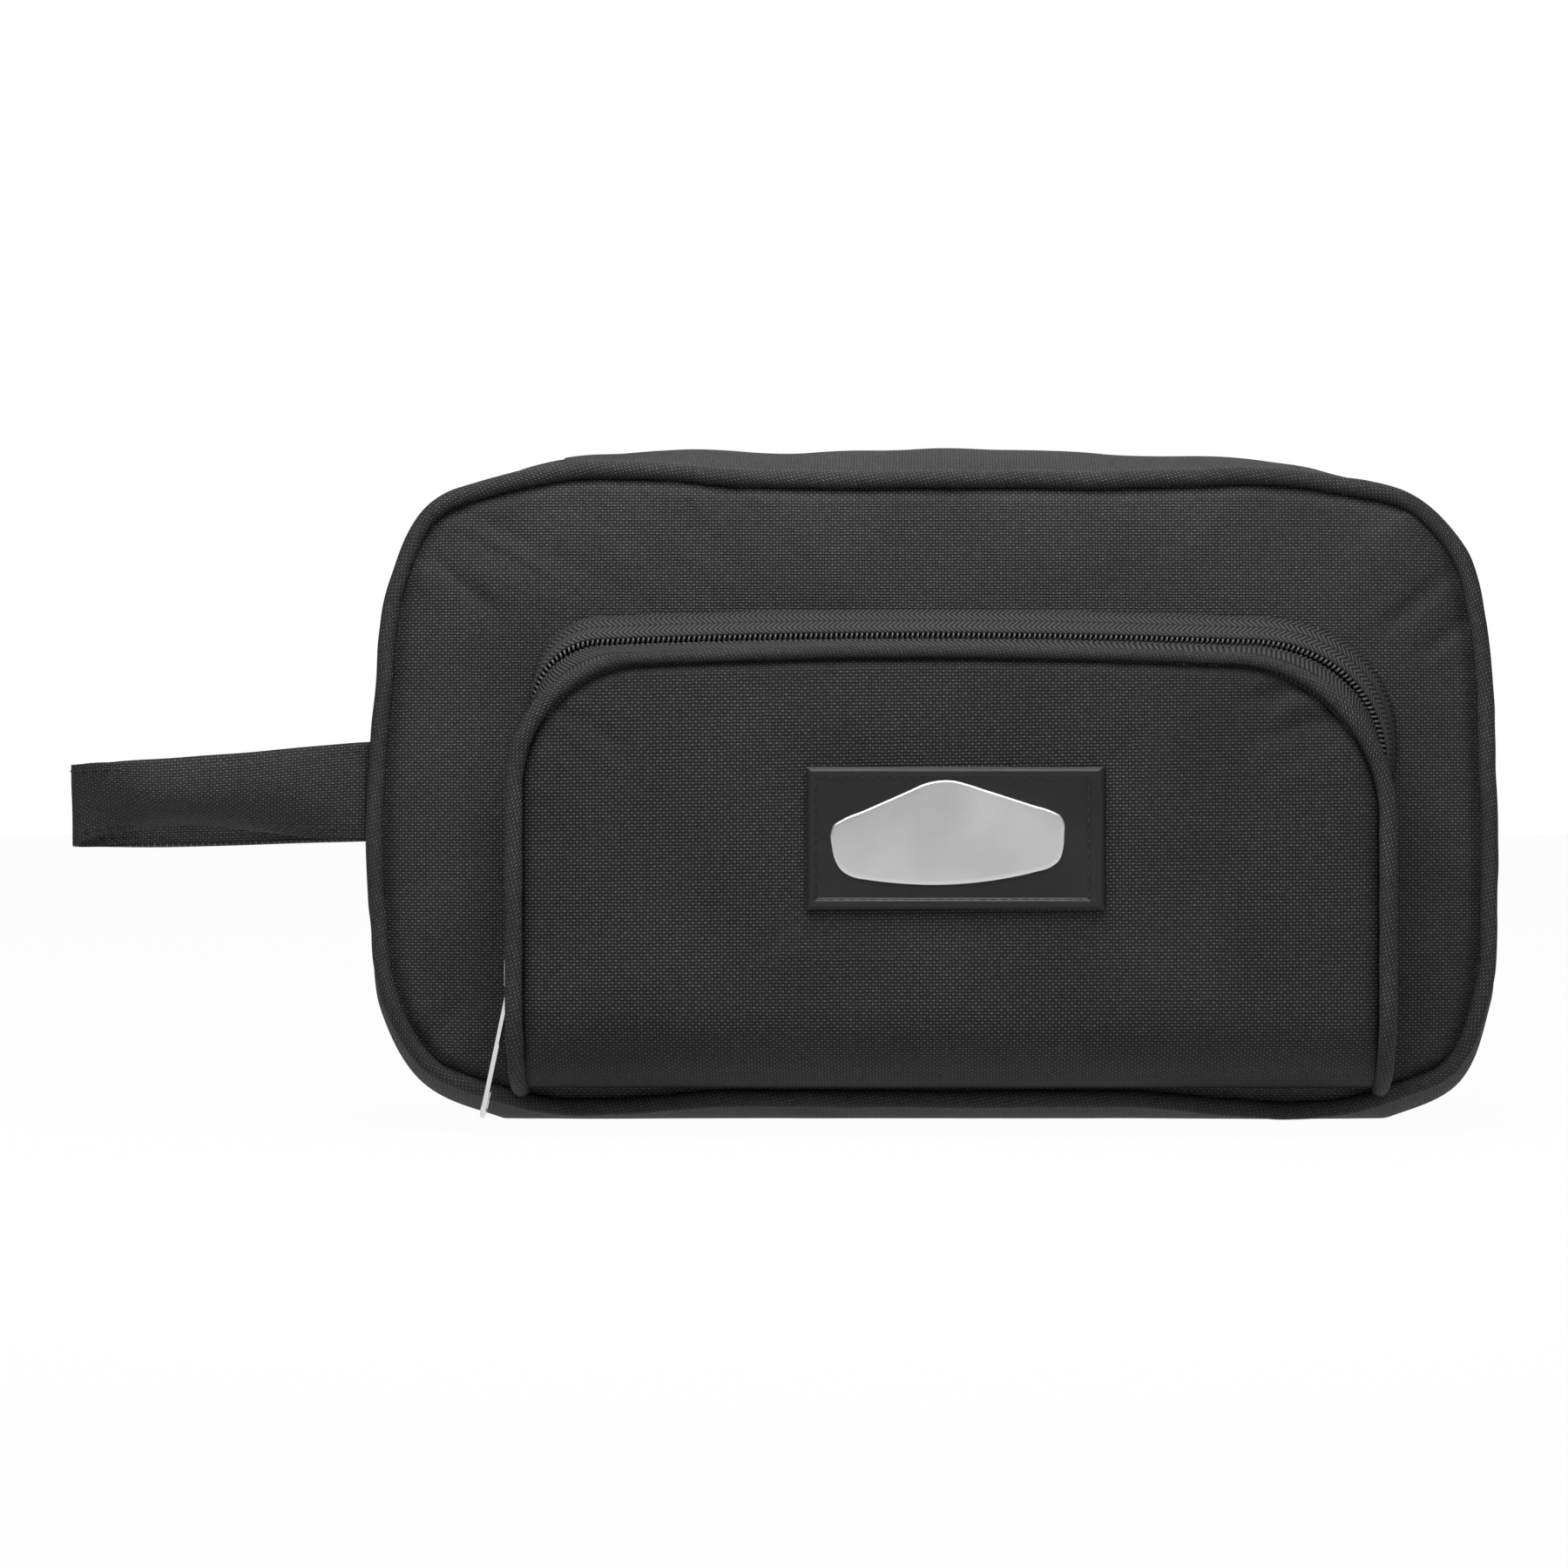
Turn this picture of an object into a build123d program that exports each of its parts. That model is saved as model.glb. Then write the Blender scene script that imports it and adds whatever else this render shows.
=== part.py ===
from build123d import *
from math import acos, asin, ceil, cos, degrees, floor, radians, sin, sqrt, tan
import os

os.makedirs("parts", exist_ok=True)

# A soft zipped wash bag standing on its belly.
# X runs across the front, Y runs from the front to the back, Z is up.
# The origin is on the table, under the middle of the bag. All sizes are in millimetres.

# Bag body
bag_width = 260.0
bag_depth = 100.0
seam_low = 6.3
seam_high = 151.7
panel_corner = 32.0
side_bow = 3.0
panel_crown = 4.0
corner_steps = 4
corner_tightening = 0.6
cloth = 1.2
trim = 1.0

# Gusset bulge past the piping
top_bulge = 8.8
side_bulge = 4.0
gusset_corner = 38.0
top_fall = 11.0
least_fall = 0.01
floor_press = 0.5
swell_power = 2.5
gusset_bands = 6

# Piping and the binding inside the seams
piping_radius = 2.0
cord_radius = 1.3
flange_thickness = 0.8
flange_bite = 0.1
seam_gap = 0.15
seam_allowance = 6.0
binding_reach = 4.0
binding_thickness = 1.0

# Main zip on top
track_radius = 420.0
track_high = 157.1
track_step = 10.0
mouth_length = 171.0
mouth_margin = 4.0
mouth_gap = 0.5
hinge_gap = 1.2
lip_bulge = 5.0
lip_edge = 7.5
lip_bands = 6
lip_steps = 4
tape_thickness = 0.6
tape_reach = 6.0
coil_height = 1.6
coil_width = 2.1
coil_gap = 1.1
tooth_depth = 0.8
tooth_land = 0.3
coil_pitch = 2.8
welt = 1.0
track_length = 236.0
track_end_room = 3.0
stop_length = 2.0
stop_rise = 0.6

# Sliders
slider_length = 12.0
slider_width = 9.0
slider_tail_width = 7.4
slider_corner = 1.6
wing = 0.9
slide_clearance = 0.2
post_width = 0.7
post_length = 3.6
bridge_width = 2.2
bridge_length = 7.4
bridge_rise = 1.9
bridge_thickness = 1.0

# Pull tabs
main_tab_length = 22.0
pocket_tab_length = 33.5
tab_width = 6.4
tab_tip_width = 5.2
tab_thickness = 1.2
tab_eye_width = 3.0
tab_eye_length = 4.2
tab_bar = 0.6
tab_hole_length = 4.6
tab_hole_width = 2.2
tab_rim = 1.4
main_park = 111.0
pocket_tab_tilt = 12.0

# Front pocket
pocket_left = -95.5
pocket_right = 104.5
pocket_top = 112.3
pocket_top_bow = 1.5
pocket_corner_left = 31.0
pocket_corner_right = 38.0
pocket_reach = 18.4
pocket_seam_high = 10.8
pocket_turn_high = 31.0
pocket_piping_turn = 68.0
facing_width = 4.6
facing_y = -56.0
wall_rise = 12.3
facing_thickness = 1.0
facing_low = 18.0
zip_setback = 7.2
wall_inset = 4.8
chain_low = 24.0
pocket_park = 37.5
pocket_mouth_low = 46.0
fold_clearance = 0.4

# Badge on the pocket
badge_left = -28.0
badge_right = 39.0
badge_low = 52.0
badge_high = 84.0
badge_corner = 1.0
badge_thickness = 1.2
badge_border = 2.6
badge_fold = 4.0
badge_border_rise = 0.6
plate_centre_x = 4.0
plate_centre_z = 69.2
plate_width = 53.0
plate_height = 23.6
plate_shoulder = 14.2
plate_waist = 10.4
plate_foot = 3.6
plate_corner = 3.0
plate_apex_radius = 8.0
plate_thickness = 0.8
plate_tilt = 2.0

# Wrist loop
strap_width = 22.5
strap_thickness = 1.4
strap_low = 66.5
loop_reach = 197.0
loop_gap = 12.0
loop_behind = 3.8
loop_root_out = 1.2

# Levels that follow from the sizes above
front_y = -bag_depth / 2
seam_mid = (seam_low + seam_high) / 2
panel_inset = 2 * piping_radius
gusset_inset = panel_inset + seam_gap
flange_front = front_y - flange_thickness / 2
panel_face = flange_front - cloth
gusset_edge = bag_depth / 2 - flange_thickness / 2
mouth_half = mouth_length / 2
track_half = track_length / 2
track_low = track_high - track_radius
coil_inner = coil_gap / 2
coil_outer = coil_inner + coil_width
tape_inner = coil_inner + coil_gap / 4


def xz_at(y):
    """Drawing plane facing the front at depth y, with X right and Z up."""
    return Plane.XZ.offset(-y)


def save(piece, name):
    """Label a finished piece and write it under its own name."""
    piece.label = name
    export_step(piece, "parts/" + name + ".step")


def mix(start, end, share):
    """Value this share of the way from start to end."""
    return start + (end - start) * share


# Seam outlines and the crowned panels

def outline_through(points):
    """Flat drawing bounded by straight runs between these points."""
    with BuildSketch() as outline:
        with BuildLine():
            Polyline(*points, close=True)
        make_face()
    return outline.sketch


def corner_points(x, z, radius, start):
    """Points on a quarter turn about x, z, from this angle on."""
    points = []
    for step in range(corner_steps + 1):
        turn = radians(start + 90 * step / corner_steps)
        points.append((x + radius * cos(turn), z + radius * sin(turn)))
    return points


def bowed_oblong(half_width, low, high, corner, side, fall=0.0, top_shares=()):
    """Rounded oblong with bowed sides and a top that falls to both ends."""
    mid = (low + high) / 2
    pinch = side * (1 - corner / (high - mid)) ** 2
    centre_x = half_width - pinch - corner
    drop = fall * (centre_x / half_width) ** 2
    right = corner_points(centre_x, low + corner, corner, -90)
    right.append((half_width, mid))
    right.extend(corner_points(centre_x, high - drop - corner, corner, 0))
    for share in top_shares:
        x = share * centre_x
        right.append((x, high - fall * (x / half_width) ** 2))
    left = [(-x, z) for x, z in reversed(right)]
    return outline_through(right + left)


def seam_outline(inset):
    """Outline of the bag's front, this far inside the piping's outer edge."""
    corner = panel_corner - corner_tightening * inset
    return bowed_oblong(bag_width / 2 - inset, seam_low + inset, seam_high - inset, corner, side_bow)


def crowned_block(face_y, outward):
    """Filled cushion shape of a panel, standing on the seam plane at face_y."""
    with BuildPart() as block:
        for inset, share in ((0, 0), (7, 0.4), (22, 0.8), (46, 1)):
            with BuildSketch(xz_at(face_y + outward * panel_crown * share)):
                add(seam_outline(panel_inset + inset))
        loft(ruled=True)
    return block.part


def panel_sheet(face_y, outward):
    """Crowned cloth panel: the cushion shape one cloth out, less the same shape."""
    with BuildPart() as panel:
        add(crowned_block(face_y + outward * cloth, outward))
        with BuildSketch(xz_at(face_y + outward * cloth)):
            add(seam_outline(panel_inset))
        extrude(amount=outward * cloth)
        add(crowned_block(face_y, outward), mode=Mode.SUBTRACT)
    return panel.part


save(panel_sheet(flange_front, -1), "front_panel")
save(panel_sheet(-flange_front, 1), "back_panel")


# Piping: a cord in a folded strip, whose flange is sewn into the seam

def rounded_ring(outline, y, radius):
    """Eight-sided tube round an outline, its middle one piping radius inside it."""
    flat = radius * tan(radians(22.5))
    section = ((-radius, flat), (-flat, radius), (flat, radius), (radius, flat))
    with BuildPart() as ring:
        for side, mode in ((-1, Mode.ADD), (1, Mode.SUBTRACT)):
            for depth, reach in section:
                with BuildSketch(xz_at(y + depth)):
                    add(outline(piping_radius + side * reach))
            loft(ruled=True, mode=mode)
    return ring.part


def piping_cover(y):
    """Cloth tube over the cord, with its flange lying in the seam."""
    with BuildPart() as cover:
        add(rounded_ring(seam_outline, y, piping_radius))
        add(rounded_ring(seam_outline, y, cord_radius), mode=Mode.SUBTRACT)
        with BuildSketch(xz_at(y + flange_thickness / 2)):
            add(seam_outline(panel_inset - flange_bite))
            add(seam_outline(panel_inset + seam_allowance), mode=Mode.SUBTRACT)
        extrude(amount=flange_thickness)
    return cover.part


def seam_binding(y, inward):
    """Folded tape over the raw edges inside the seam."""
    flange_edge = panel_inset + seam_allowance
    near = y + inward * flange_thickness / 2
    with BuildPart() as binding:
        with BuildSketch(xz_at(near)):
            add(seam_outline(flange_edge + binding_thickness - binding_reach))
            add(seam_outline(flange_edge + binding_thickness), mode=Mode.SUBTRACT)
        extrude(amount=-inward * binding_thickness)
        with BuildSketch(xz_at(near)):
            add(seam_outline(flange_edge))
            add(seam_outline(flange_edge + binding_thickness), mode=Mode.SUBTRACT)
        extrude(amount=inward * flange_thickness)
    return binding.part


for side, y, inward in (("front", front_y, 1), ("back", -front_y, -1)):
    save(piping_cover(y), side + "_piping_cover")
    save(rounded_ring(seam_outline, y, cord_radius), side + "_piping_cord")
    save(seam_binding(y, inward), side + "_seam_binding")


# Gusset: one long strip round the bag, swelling between its two seams

def swell_at(depth_share):
    """Share of the full bulge at a share of the way from a seam to the middle."""
    return 1 - (1 - depth_share) ** swell_power


def gusset_outline(depth_share, inset):
    """Outline of the gusset at a share of the way from a seam to the middle."""
    swell = swell_at(depth_share)
    half = mix(bag_width / 2 - gusset_inset, bag_width / 2 + side_bulge, swell) - inset
    low = mix(seam_low + gusset_inset, -floor_press, swell) + inset
    high = mix(seam_high - gusset_inset, seam_high + top_bulge, swell) - inset
    corner = mix(panel_corner - corner_tightening * panel_inset, gusset_corner, swell) - inset
    fall = mix(least_fall, top_fall, swell)
    return bowed_oblong(half, low, high, corner, side_bow, fall, (0.7, 0.35))


def gusset_block(inset):
    """Filled shape of the swollen gusset, this far inside its outer face."""
    with BuildPart() as block:
        for band in range(gusset_bands + 1):
            across = 2 * band / gusset_bands - 1
            with BuildSketch(xz_at(across * gusset_edge)):
                add(gusset_outline(1 - abs(across), inset))
        loft(ruled=True)
    return block.part


gusset_outside = gusset_block(0)
with BuildPart() as gusset:
    add(gusset_outside)
    add(gusset_block(cloth), mode=Mode.SUBTRACT)
    split(bisect_by=Plane.XY, keep=Keep.TOP)
    with BuildSketch(Plane.XY.offset(seam_mid)):
        Rectangle(mouth_length + 2 * mouth_gap, bag_depth - 2 * mouth_margin)
        Rectangle(track_length + 2 * track_end_room, 2 * lip_edge)
    extrude(amount=bag_width, mode=Mode.SUBTRACT)
save(gusset.part, "gusset")


# Main zip: the track is a long arc over the top of the bag

def track_at(x):
    """Height of the track's underside above the floor."""
    return track_low + sqrt(track_radius**2 - x**2)


def track_band(low_x, high_x, low, high, near_y, far_y):
    """Strip in short straight runs along the track, between two heights above its underside."""
    first = ceil(low_x / track_step + 0.5)
    last = floor(high_x / track_step - 0.5)
    stations = [low_x] + [track_step * step for step in range(first, last + 1)] + [high_x]
    under = [(x, track_at(x) + low) for x in stations]
    over = [(x, track_at(x) + high) for x in reversed(stations)]
    with BuildPart() as band:
        with BuildSketch(xz_at(far_y)):
            add(outline_through(under + over))
        extrude(amount=far_y - near_y)
    return band.part


def comb(low_x, high_x, hand):
    """Plan of one coil half: a strip with a pointed tooth at every pitch."""
    root_y = hand * (coil_inner + tooth_depth)
    outer_y = hand * (coil_outer + trim)
    teeth = int((high_x - low_x) / coil_pitch)
    start = (low_x + high_x - teeth * coil_pitch) / 2
    points = [(low_x - trim, outer_y), (low_x - trim, root_y)]
    for tooth in range(teeth):
        root = start + tooth * coil_pitch
        points.append((root, root_y))
        points.append((root + coil_pitch / 2, hand * coil_inner))
    points.append((start + teeth * coil_pitch, root_y))
    points.append((high_x + trim, root_y))
    points.append((high_x + trim, outer_y))
    return points


def main_coil(low_x, high_x, hand):
    """One toothed coil half lying on its tape along the track."""
    near_y, far_y = sorted((0, hand * coil_outer))
    with BuildPart() as coil:
        add(track_band(low_x, high_x, tape_thickness, chain_top, near_y, far_y))
        with BuildSketch(Plane.XY.offset(seam_mid)):
            add(outline_through(comb(low_x, high_x, hand)))
        extrude(amount=seam_high, mode=Mode.INTERSECT)
    return coil.part


def lip(hand):
    """Top flap between a seam and the zip, crowned along the bag and across it."""
    with BuildPart() as flap:
        for station in range(lip_bands + 1):
            x = mix(-mouth_half, mouth_half, station / lip_bands)
            edge = track_at(x) + tape_thickness + cloth / 2
            over = []
            for step in range(lip_steps + 1):
                share = step / lip_steps
                bulge = lip_bulge * 4 * share * (1 - share)
                y = hand * mix(lip_hinge_y, lip_edge, share)
                over.append((y, mix(lip_hinge_z, edge, share) + bulge + cloth / 2))
            under = [(y, z - cloth) for y, z in reversed(over)]
            with BuildSketch(Plane.YZ.offset(x)):
                add(outline_through(over + under))
        loft(ruled=True)
        add(lip_tape(hand), mode=Mode.SUBTRACT)
    return flap.part


def lip_tape(hand):
    """Zip tape under a lip's edge, along the track."""
    near_y, far_y = sorted((hand * tape_inner, hand * (lip_edge + tape_reach)))
    return track_band(-mouth_half, mouth_half, 0, tape_thickness, near_y, far_y)


chain_top = tape_thickness + coil_height
lip_hinge_y = bag_depth / 2 - mouth_margin - hinge_gap
hinge_share = (gusset_edge - lip_hinge_y) / (2 * gusset_edge / gusset_bands)
hinge_swell = swell_at(2 / gusset_bands) * hinge_share
lip_hinge_z = mix(seam_high - gusset_inset, seam_high + top_bulge, hinge_swell) - cloth

for side, hand in (("front", -1), ("rear", 1)):
    save(lip(hand), side + "_lip")
    save(lip_tape(hand), side + "_lip_tape")
    save(main_coil(-mouth_half, mouth_half, hand), side + "_lip_coil")


def zip_end_bed(hand):
    """Cloth channel that carries the zip's end below the gusset's slot."""
    start = mouth_half + mouth_gap
    end = track_half + track_end_room
    low_x, high_x = sorted((hand * start, hand * end))
    inner_low, inner_high = sorted((hand * (start - trim), hand * (end - welt)))
    hollow = lip_edge - welt
    with BuildPart() as bed:
        add(track_band(low_x, high_x, tape_thickness, bag_depth, -lip_edge, lip_edge))
        add(gusset_outside, mode=Mode.INTERSECT)
        add(
            track_band(inner_low, inner_high, 0, bag_depth + trim, -hollow, hollow),
            mode=Mode.SUBTRACT,
        )
    return bed.part


def zip_end_chain(hand):
    """Tape, both coil halves and the end stop of the zip's fixed end."""
    start = mouth_half + mouth_gap
    low_x, high_x = sorted((hand * start, hand * (track_half + track_end_room)))
    coil_low, coil_high = sorted((hand * start, hand * track_half))
    stop_low, stop_high = sorted((hand * track_half, hand * (track_half + stop_length)))
    stop_top = chain_top + stop_rise
    with BuildPart() as chain:
        for half in (-1, 1):
            near_y, far_y = sorted((half * tape_inner, half * lip_edge))
            add(track_band(low_x, high_x, 0, tape_thickness, near_y, far_y))
            add(main_coil(coil_low, coil_high, half))
        add(track_band(stop_low, stop_high, tape_thickness, stop_top, -coil_outer, coil_outer))
    return chain.part


for side, hand in (("left", -1), ("right", 1)):
    save(zip_end_bed(hand), side + "_zip_end_bed")
    save(zip_end_chain(hand), side + "_zip_end_chain")


# Sliders: local X points along the closing run, local Z out of the bag
wing_under = chain_top + slide_clearance
wing_top = wing_under + wing
pivot_rise = wing_top + bridge_rise / 2


def wing_outline():
    """Plan of a slider's wing, broad at the shoulders and narrow at the tail."""
    nose = slider_length / 2
    shoulder = slider_width / 2
    with BuildSketch() as plan:
        with BuildLine():
            Polyline(
                (nose, shoulder - slider_corner),
                (nose - slider_corner, shoulder),
                (0, shoulder),
                (-nose, slider_tail_width / 2),
                (-nose, -slider_tail_width / 2),
                (0, -shoulder),
                (nose - slider_corner, -shoulder),
                (nose, slider_corner - shoulder),
                close=True,
            )
        make_face()
    return plan.sketch


def slider(base):
    """Two wings joined by the post, with side guides and the bridge for the tab."""
    guide_in = coil_outer + slide_clearance
    guide_low = tape_thickness + slide_clearance
    post_x = (slider_length - post_length - slider_corner) / 2
    bridge_top = bridge_rise + bridge_thickness
    with BuildPart() as body:
        with BuildSketch(base.offset(-slide_clearance - wing)):
            add(wing_outline())
        extrude(amount=wing)
        with BuildSketch(base.offset(wing_under)):
            add(wing_outline())
        extrude(amount=wing)
        with BuildSketch(base.offset(guide_low)):
            add(wing_outline())
            Rectangle(slider_length + 1, 2 * guide_in, mode=Mode.SUBTRACT)
        extrude(amount=wing_under - guide_low)
        with BuildSketch(base.offset(-slide_clearance)):
            with Locations((post_x, 0)):
                SlotOverall(post_length, post_width)
        extrude(amount=wing_under + slide_clearance)
        side_view = Plane(base.origin + base.z_dir * wing_top, x_dir=base.x_dir, z_dir=-base.y_dir)
        with BuildSketch(side_view) as arch_view:
            with Locations((0, bridge_top / 2)):
                Rectangle(bridge_length, bridge_top)
            fillet(arch_view.vertices().group_by(Axis.Y)[-1], bridge_thickness)
            with Locations((0, bridge_rise / 2)):
                Rectangle(bridge_length - 2 * bridge_thickness, bridge_rise, mode=Mode.SUBTRACT)
        extrude(amount=bridge_width / 2, both=True)
    return body.part


def pull_tab(base, tab_length):
    """Flat tab whose cross bar sits under the bridge; local X runs to its tip."""
    neck = tab_eye_length + tab_rim
    tip_centre = tab_length - tab_tip_width / 2
    with BuildPart() as tab:
        with BuildSketch(base.offset(-tab_thickness / 2)):
            with BuildLine():
                Polyline(
                    (-tab_bar, -tab_width / 2),
                    (-tab_bar, tab_width / 2),
                    (neck, tab_width / 2),
                    (tip_centre, tab_tip_width / 2),
                    (tip_centre, -tab_tip_width / 2),
                    (neck, -tab_width / 2),
                    close=True,
                )
            make_face()
            with Locations((tip_centre, 0)):
                Circle(tab_tip_width / 2)
            with Locations((tab_bar + tab_eye_length / 2, 0)):
                Rectangle(tab_eye_length, tab_eye_width, mode=Mode.SUBTRACT)
            with Locations((tab_length - tab_rim - tab_hole_length / 2, 0)):
                SlotOverall(tab_hole_length, tab_hole_width, mode=Mode.SUBTRACT)
        extrude(amount=tab_thickness)
    return tab.part


park_turn = asin(main_park / track_radius)
main_base = Plane(
    (main_park, 0, track_at(main_park)),
    x_dir=(cos(park_turn), 0, -sin(park_turn)),
    z_dir=(sin(park_turn), 0, cos(park_turn)),
)
main_pivot = main_base.origin + main_base.z_dir * pivot_rise
save(slider(main_base), "main_slider")
main_tab_base = Plane(main_pivot, x_dir=-main_base.x_dir, z_dir=main_base.z_dir)
save(pull_tab(main_tab_base, main_tab_length), "main_pull_tab")


# Front pocket: a flap that leaves the bottom seam, turns up and stands proud
seam_y = panel_face - fold_clearance - cloth / 2
pocket_y = panel_face - pocket_reach
turn_dy = seam_y - pocket_y
turn_dz = pocket_turn_high - pocket_seam_high
turn_radius = (turn_dy**2 + turn_dz**2) / (2 * turn_dy)
turn_y = pocket_y + turn_radius
turn_angle = degrees(acos((turn_radius - turn_dy) / turn_radius))
over_top = pocket_top + wall_rise + facing_width + trim
pocket_mid = (pocket_left + pocket_right) / 2
zip_y = pocket_y + zip_setback


def arch(inset, top_inset, rise=0.0, low=0.0):
    """Pocket outline from the front, straight below and round at its two corners."""
    high = pocket_top - top_inset + rise
    shoulder = high - pocket_top_bow
    left = pocket_left + inset
    right = pocket_right - inset
    turn_left = pocket_corner_left - inset
    turn_right = pocket_corner_right - inset
    points = [(left, low), (right, low)]
    points.extend(corner_points(right - turn_right, shoulder - turn_right, turn_right, 0))
    points.append((pocket_mid, high))
    points.extend(corner_points(left + turn_left, shoulder - turn_left, turn_left, 90))
    return outline_through(points)


def flush_arch(inset):
    """Pocket outline above its turn, the same distance inside on all its sides."""
    return arch(inset, inset, low=pocket_turn_high)


def layer(outer, inner):
    """All the room between two offsets behind the middle of the pocket's cloth."""
    r_out = turn_radius - outer
    r_in = turn_radius - inner
    with BuildPart() as room:
        with BuildSketch(Plane.YZ):
            with BuildLine():
                outer_turn = CenterArc((turn_y, pocket_turn_high), r_out, 180, turn_angle)
                inner_turn = CenterArc((turn_y, pocket_turn_high), r_in, 180, turn_angle)
                Polyline(
                    (turn_y - r_out, pocket_turn_high),
                    (turn_y - r_out, over_top),
                    (turn_y - r_in, over_top),
                    (turn_y - r_in, pocket_turn_high),
                )
                Line(outer_turn @ 1, inner_turn @ 1)
            make_face()
        extrude(amount=bag_width, both=True)
    return room.part


def behind(offset):
    """All the room from an offset behind the pocket's cloth back into the bag."""
    r = turn_radius - offset
    with BuildPart() as room:
        with BuildSketch(Plane.YZ):
            with BuildLine():
                turn = CenterArc((turn_y, pocket_turn_high), r, 180, turn_angle)
                foot = (turn @ 1).Y
                Polyline(
                    (turn_y - r, pocket_turn_high),
                    (turn_y - r, over_top),
                    (front_y, over_top),
                    (front_y, foot),
                    ((turn @ 1).X, foot),
                )
            make_face()
        extrude(amount=bag_width, both=True)
    return room.part


def wall_block(inset):
    """Filled pocket side shape, slanting up from the piping to the facing."""
    with BuildPart() as block:
        with BuildSketch(xz_at(pocket_y)):
            add(arch(wall_inset + inset, wall_inset + inset))
        with BuildSketch(xz_at(front_y)):
            add(arch(wall_inset + inset, inset, wall_rise))
        loft(ruled=True)
    return block.part


def wall(outer_inset, inner_inset):
    """Band of the pocket's side between two depths under its outer face."""
    with BuildPart() as band:
        add(wall_block(outer_inset))
        add(wall_block(inner_inset), mode=Mode.SUBTRACT)
    return band.part


def left_foot(gap):
    """Block over the foot of the left leg, where the parked slider waits."""
    with BuildPart() as block:
        with BuildSketch(xz_at(front_y)):
            with Locations((pocket_mid - bag_width / 2, (pocket_mouth_low - gap) / 2)):
                Rectangle(bag_width, pocket_mouth_low - gap)
        extrude(amount=bag_depth)
    return block.part


def below_chain():
    """Block under the lowest coil turn of both legs."""
    with BuildPart() as block:
        with BuildSketch(xz_at(front_y)):
            with Locations((pocket_mid, chain_low / 2)):
                Rectangle(2 * bag_width, chain_low)
        extrude(amount=bag_depth)
    return block.part


def notches(hand, first, last):
    """Wedges cut between the teeth along the pocket's arch, on one side of the zip."""
    share = zip_setback / (front_y - pocket_y)
    with BuildSketch(xz_at(zip_y)) as middle:
        add(arch(wall_inset, wall_inset * (1 - share), wall_rise * share))
    path = Wire(middle.sketch.face().outer_wire().edges().sort_by(Axis.Z)[1:])
    from_left = (path @ 0).X < pocket_mid
    planes = []
    for tooth in range(int((path.length - last - first) / coil_pitch)):
        along = first + tooth * coil_pitch
        station = along if from_left else path.length - along
        point = path.position_at(station, position_mode=PositionMode.LENGTH)
        run = path.tangent_at(station, position_mode=PositionMode.LENGTH)
        planes.append(Plane(point, x_dir=run, z_dir=run.cross(Vector(0, 1, 0))))
    edge = hand * (coil_inner - tooth_depth / 10)
    half = (coil_pitch - tooth_land) / 2
    wedge = outline_through([(-half, edge), (0, hand * (coil_inner + tooth_depth)), (half, edge)])
    with BuildPart() as wedges:
        with BuildSketch(*planes):
            add(wedge)
        extrude(amount=2 * coil_height, both=True)
    return wedges.part


def bag_front(face_y):
    """Crowned front of the bag with the room behind it back to the seam."""
    with BuildPart() as block:
        add(crowned_block(face_y, -1))
        with BuildSketch(xz_at(face_y)):
            add(seam_outline(panel_inset))
        extrude(amount=face_y - front_y)
    return block.part


panel_block = bag_front(panel_face)
facing_block = bag_front(panel_face - facing_thickness)
clear_block = bag_front(panel_face - facing_thickness - fold_clearance)
tape_band = wall(0, tape_thickness)
coil_band = wall(-coil_height, 0)

# Pocket pieces that stay on the bag
facing_share = (facing_y - pocket_y) / (front_y - pocket_y)
facing_inset = mix(wall_inset, 0, facing_share)
facing_rise = wall_rise * facing_share
with BuildPart() as pocket_facing:
    with BuildSketch(xz_at(front_y)):
        add(arch(wall_inset - facing_width, facing_inset - facing_width, facing_rise))
        add(arch(wall_inset, facing_inset, facing_rise), mode=Mode.SUBTRACT)
    extrude(amount=bag_depth)
    add(facing_block, mode=Mode.INTERSECT)
    add(panel_block, mode=Mode.SUBTRACT)
    with BuildSketch(Plane.XY.offset(facing_low)):
        Rectangle(2 * bag_width, 2 * bag_depth)
    extrude(amount=-bag_depth, mode=Mode.SUBTRACT)
save(pocket_facing.part, "pocket_facing")

with BuildPart() as pocket_inner_tape:
    add(tape_band)
    add(behind(zip_setback + tape_inner), mode=Mode.INTERSECT)
    add(panel_block, mode=Mode.SUBTRACT)
    add(pocket_facing.part, mode=Mode.SUBTRACT)
save(pocket_inner_tape.part, "pocket_inner_tape")

with BuildPart() as pocket_inner_coil:
    add(coil_band)
    add(layer(zip_setback + coil_inner, zip_setback + coil_outer), mode=Mode.INTERSECT)
    add(below_chain(), mode=Mode.SUBTRACT)
    add(notches(1, pocket_turn_high, pocket_turn_high), mode=Mode.SUBTRACT)
save(pocket_inner_coil.part, "pocket_inner_coil")

with BuildPart() as foot_tape:
    add(tape_band)
    add(layer(piping_radius + fold_clearance, zip_setback - tape_inner), mode=Mode.INTERSECT)
    add(left_foot(mouth_gap), mode=Mode.INTERSECT)
    add(facing_block, mode=Mode.SUBTRACT)
with BuildPart() as foot_coil:
    add(coil_band)
    add(layer(zip_setback - coil_outer, zip_setback - coil_inner), mode=Mode.INTERSECT)
    add(left_foot(mouth_gap), mode=Mode.INTERSECT)
    add(below_chain(), mode=Mode.SUBTRACT)
save(foot_tape.part, "pocket_zip_foot_tape")
save(foot_coil.part, "pocket_zip_foot_coil")

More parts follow.
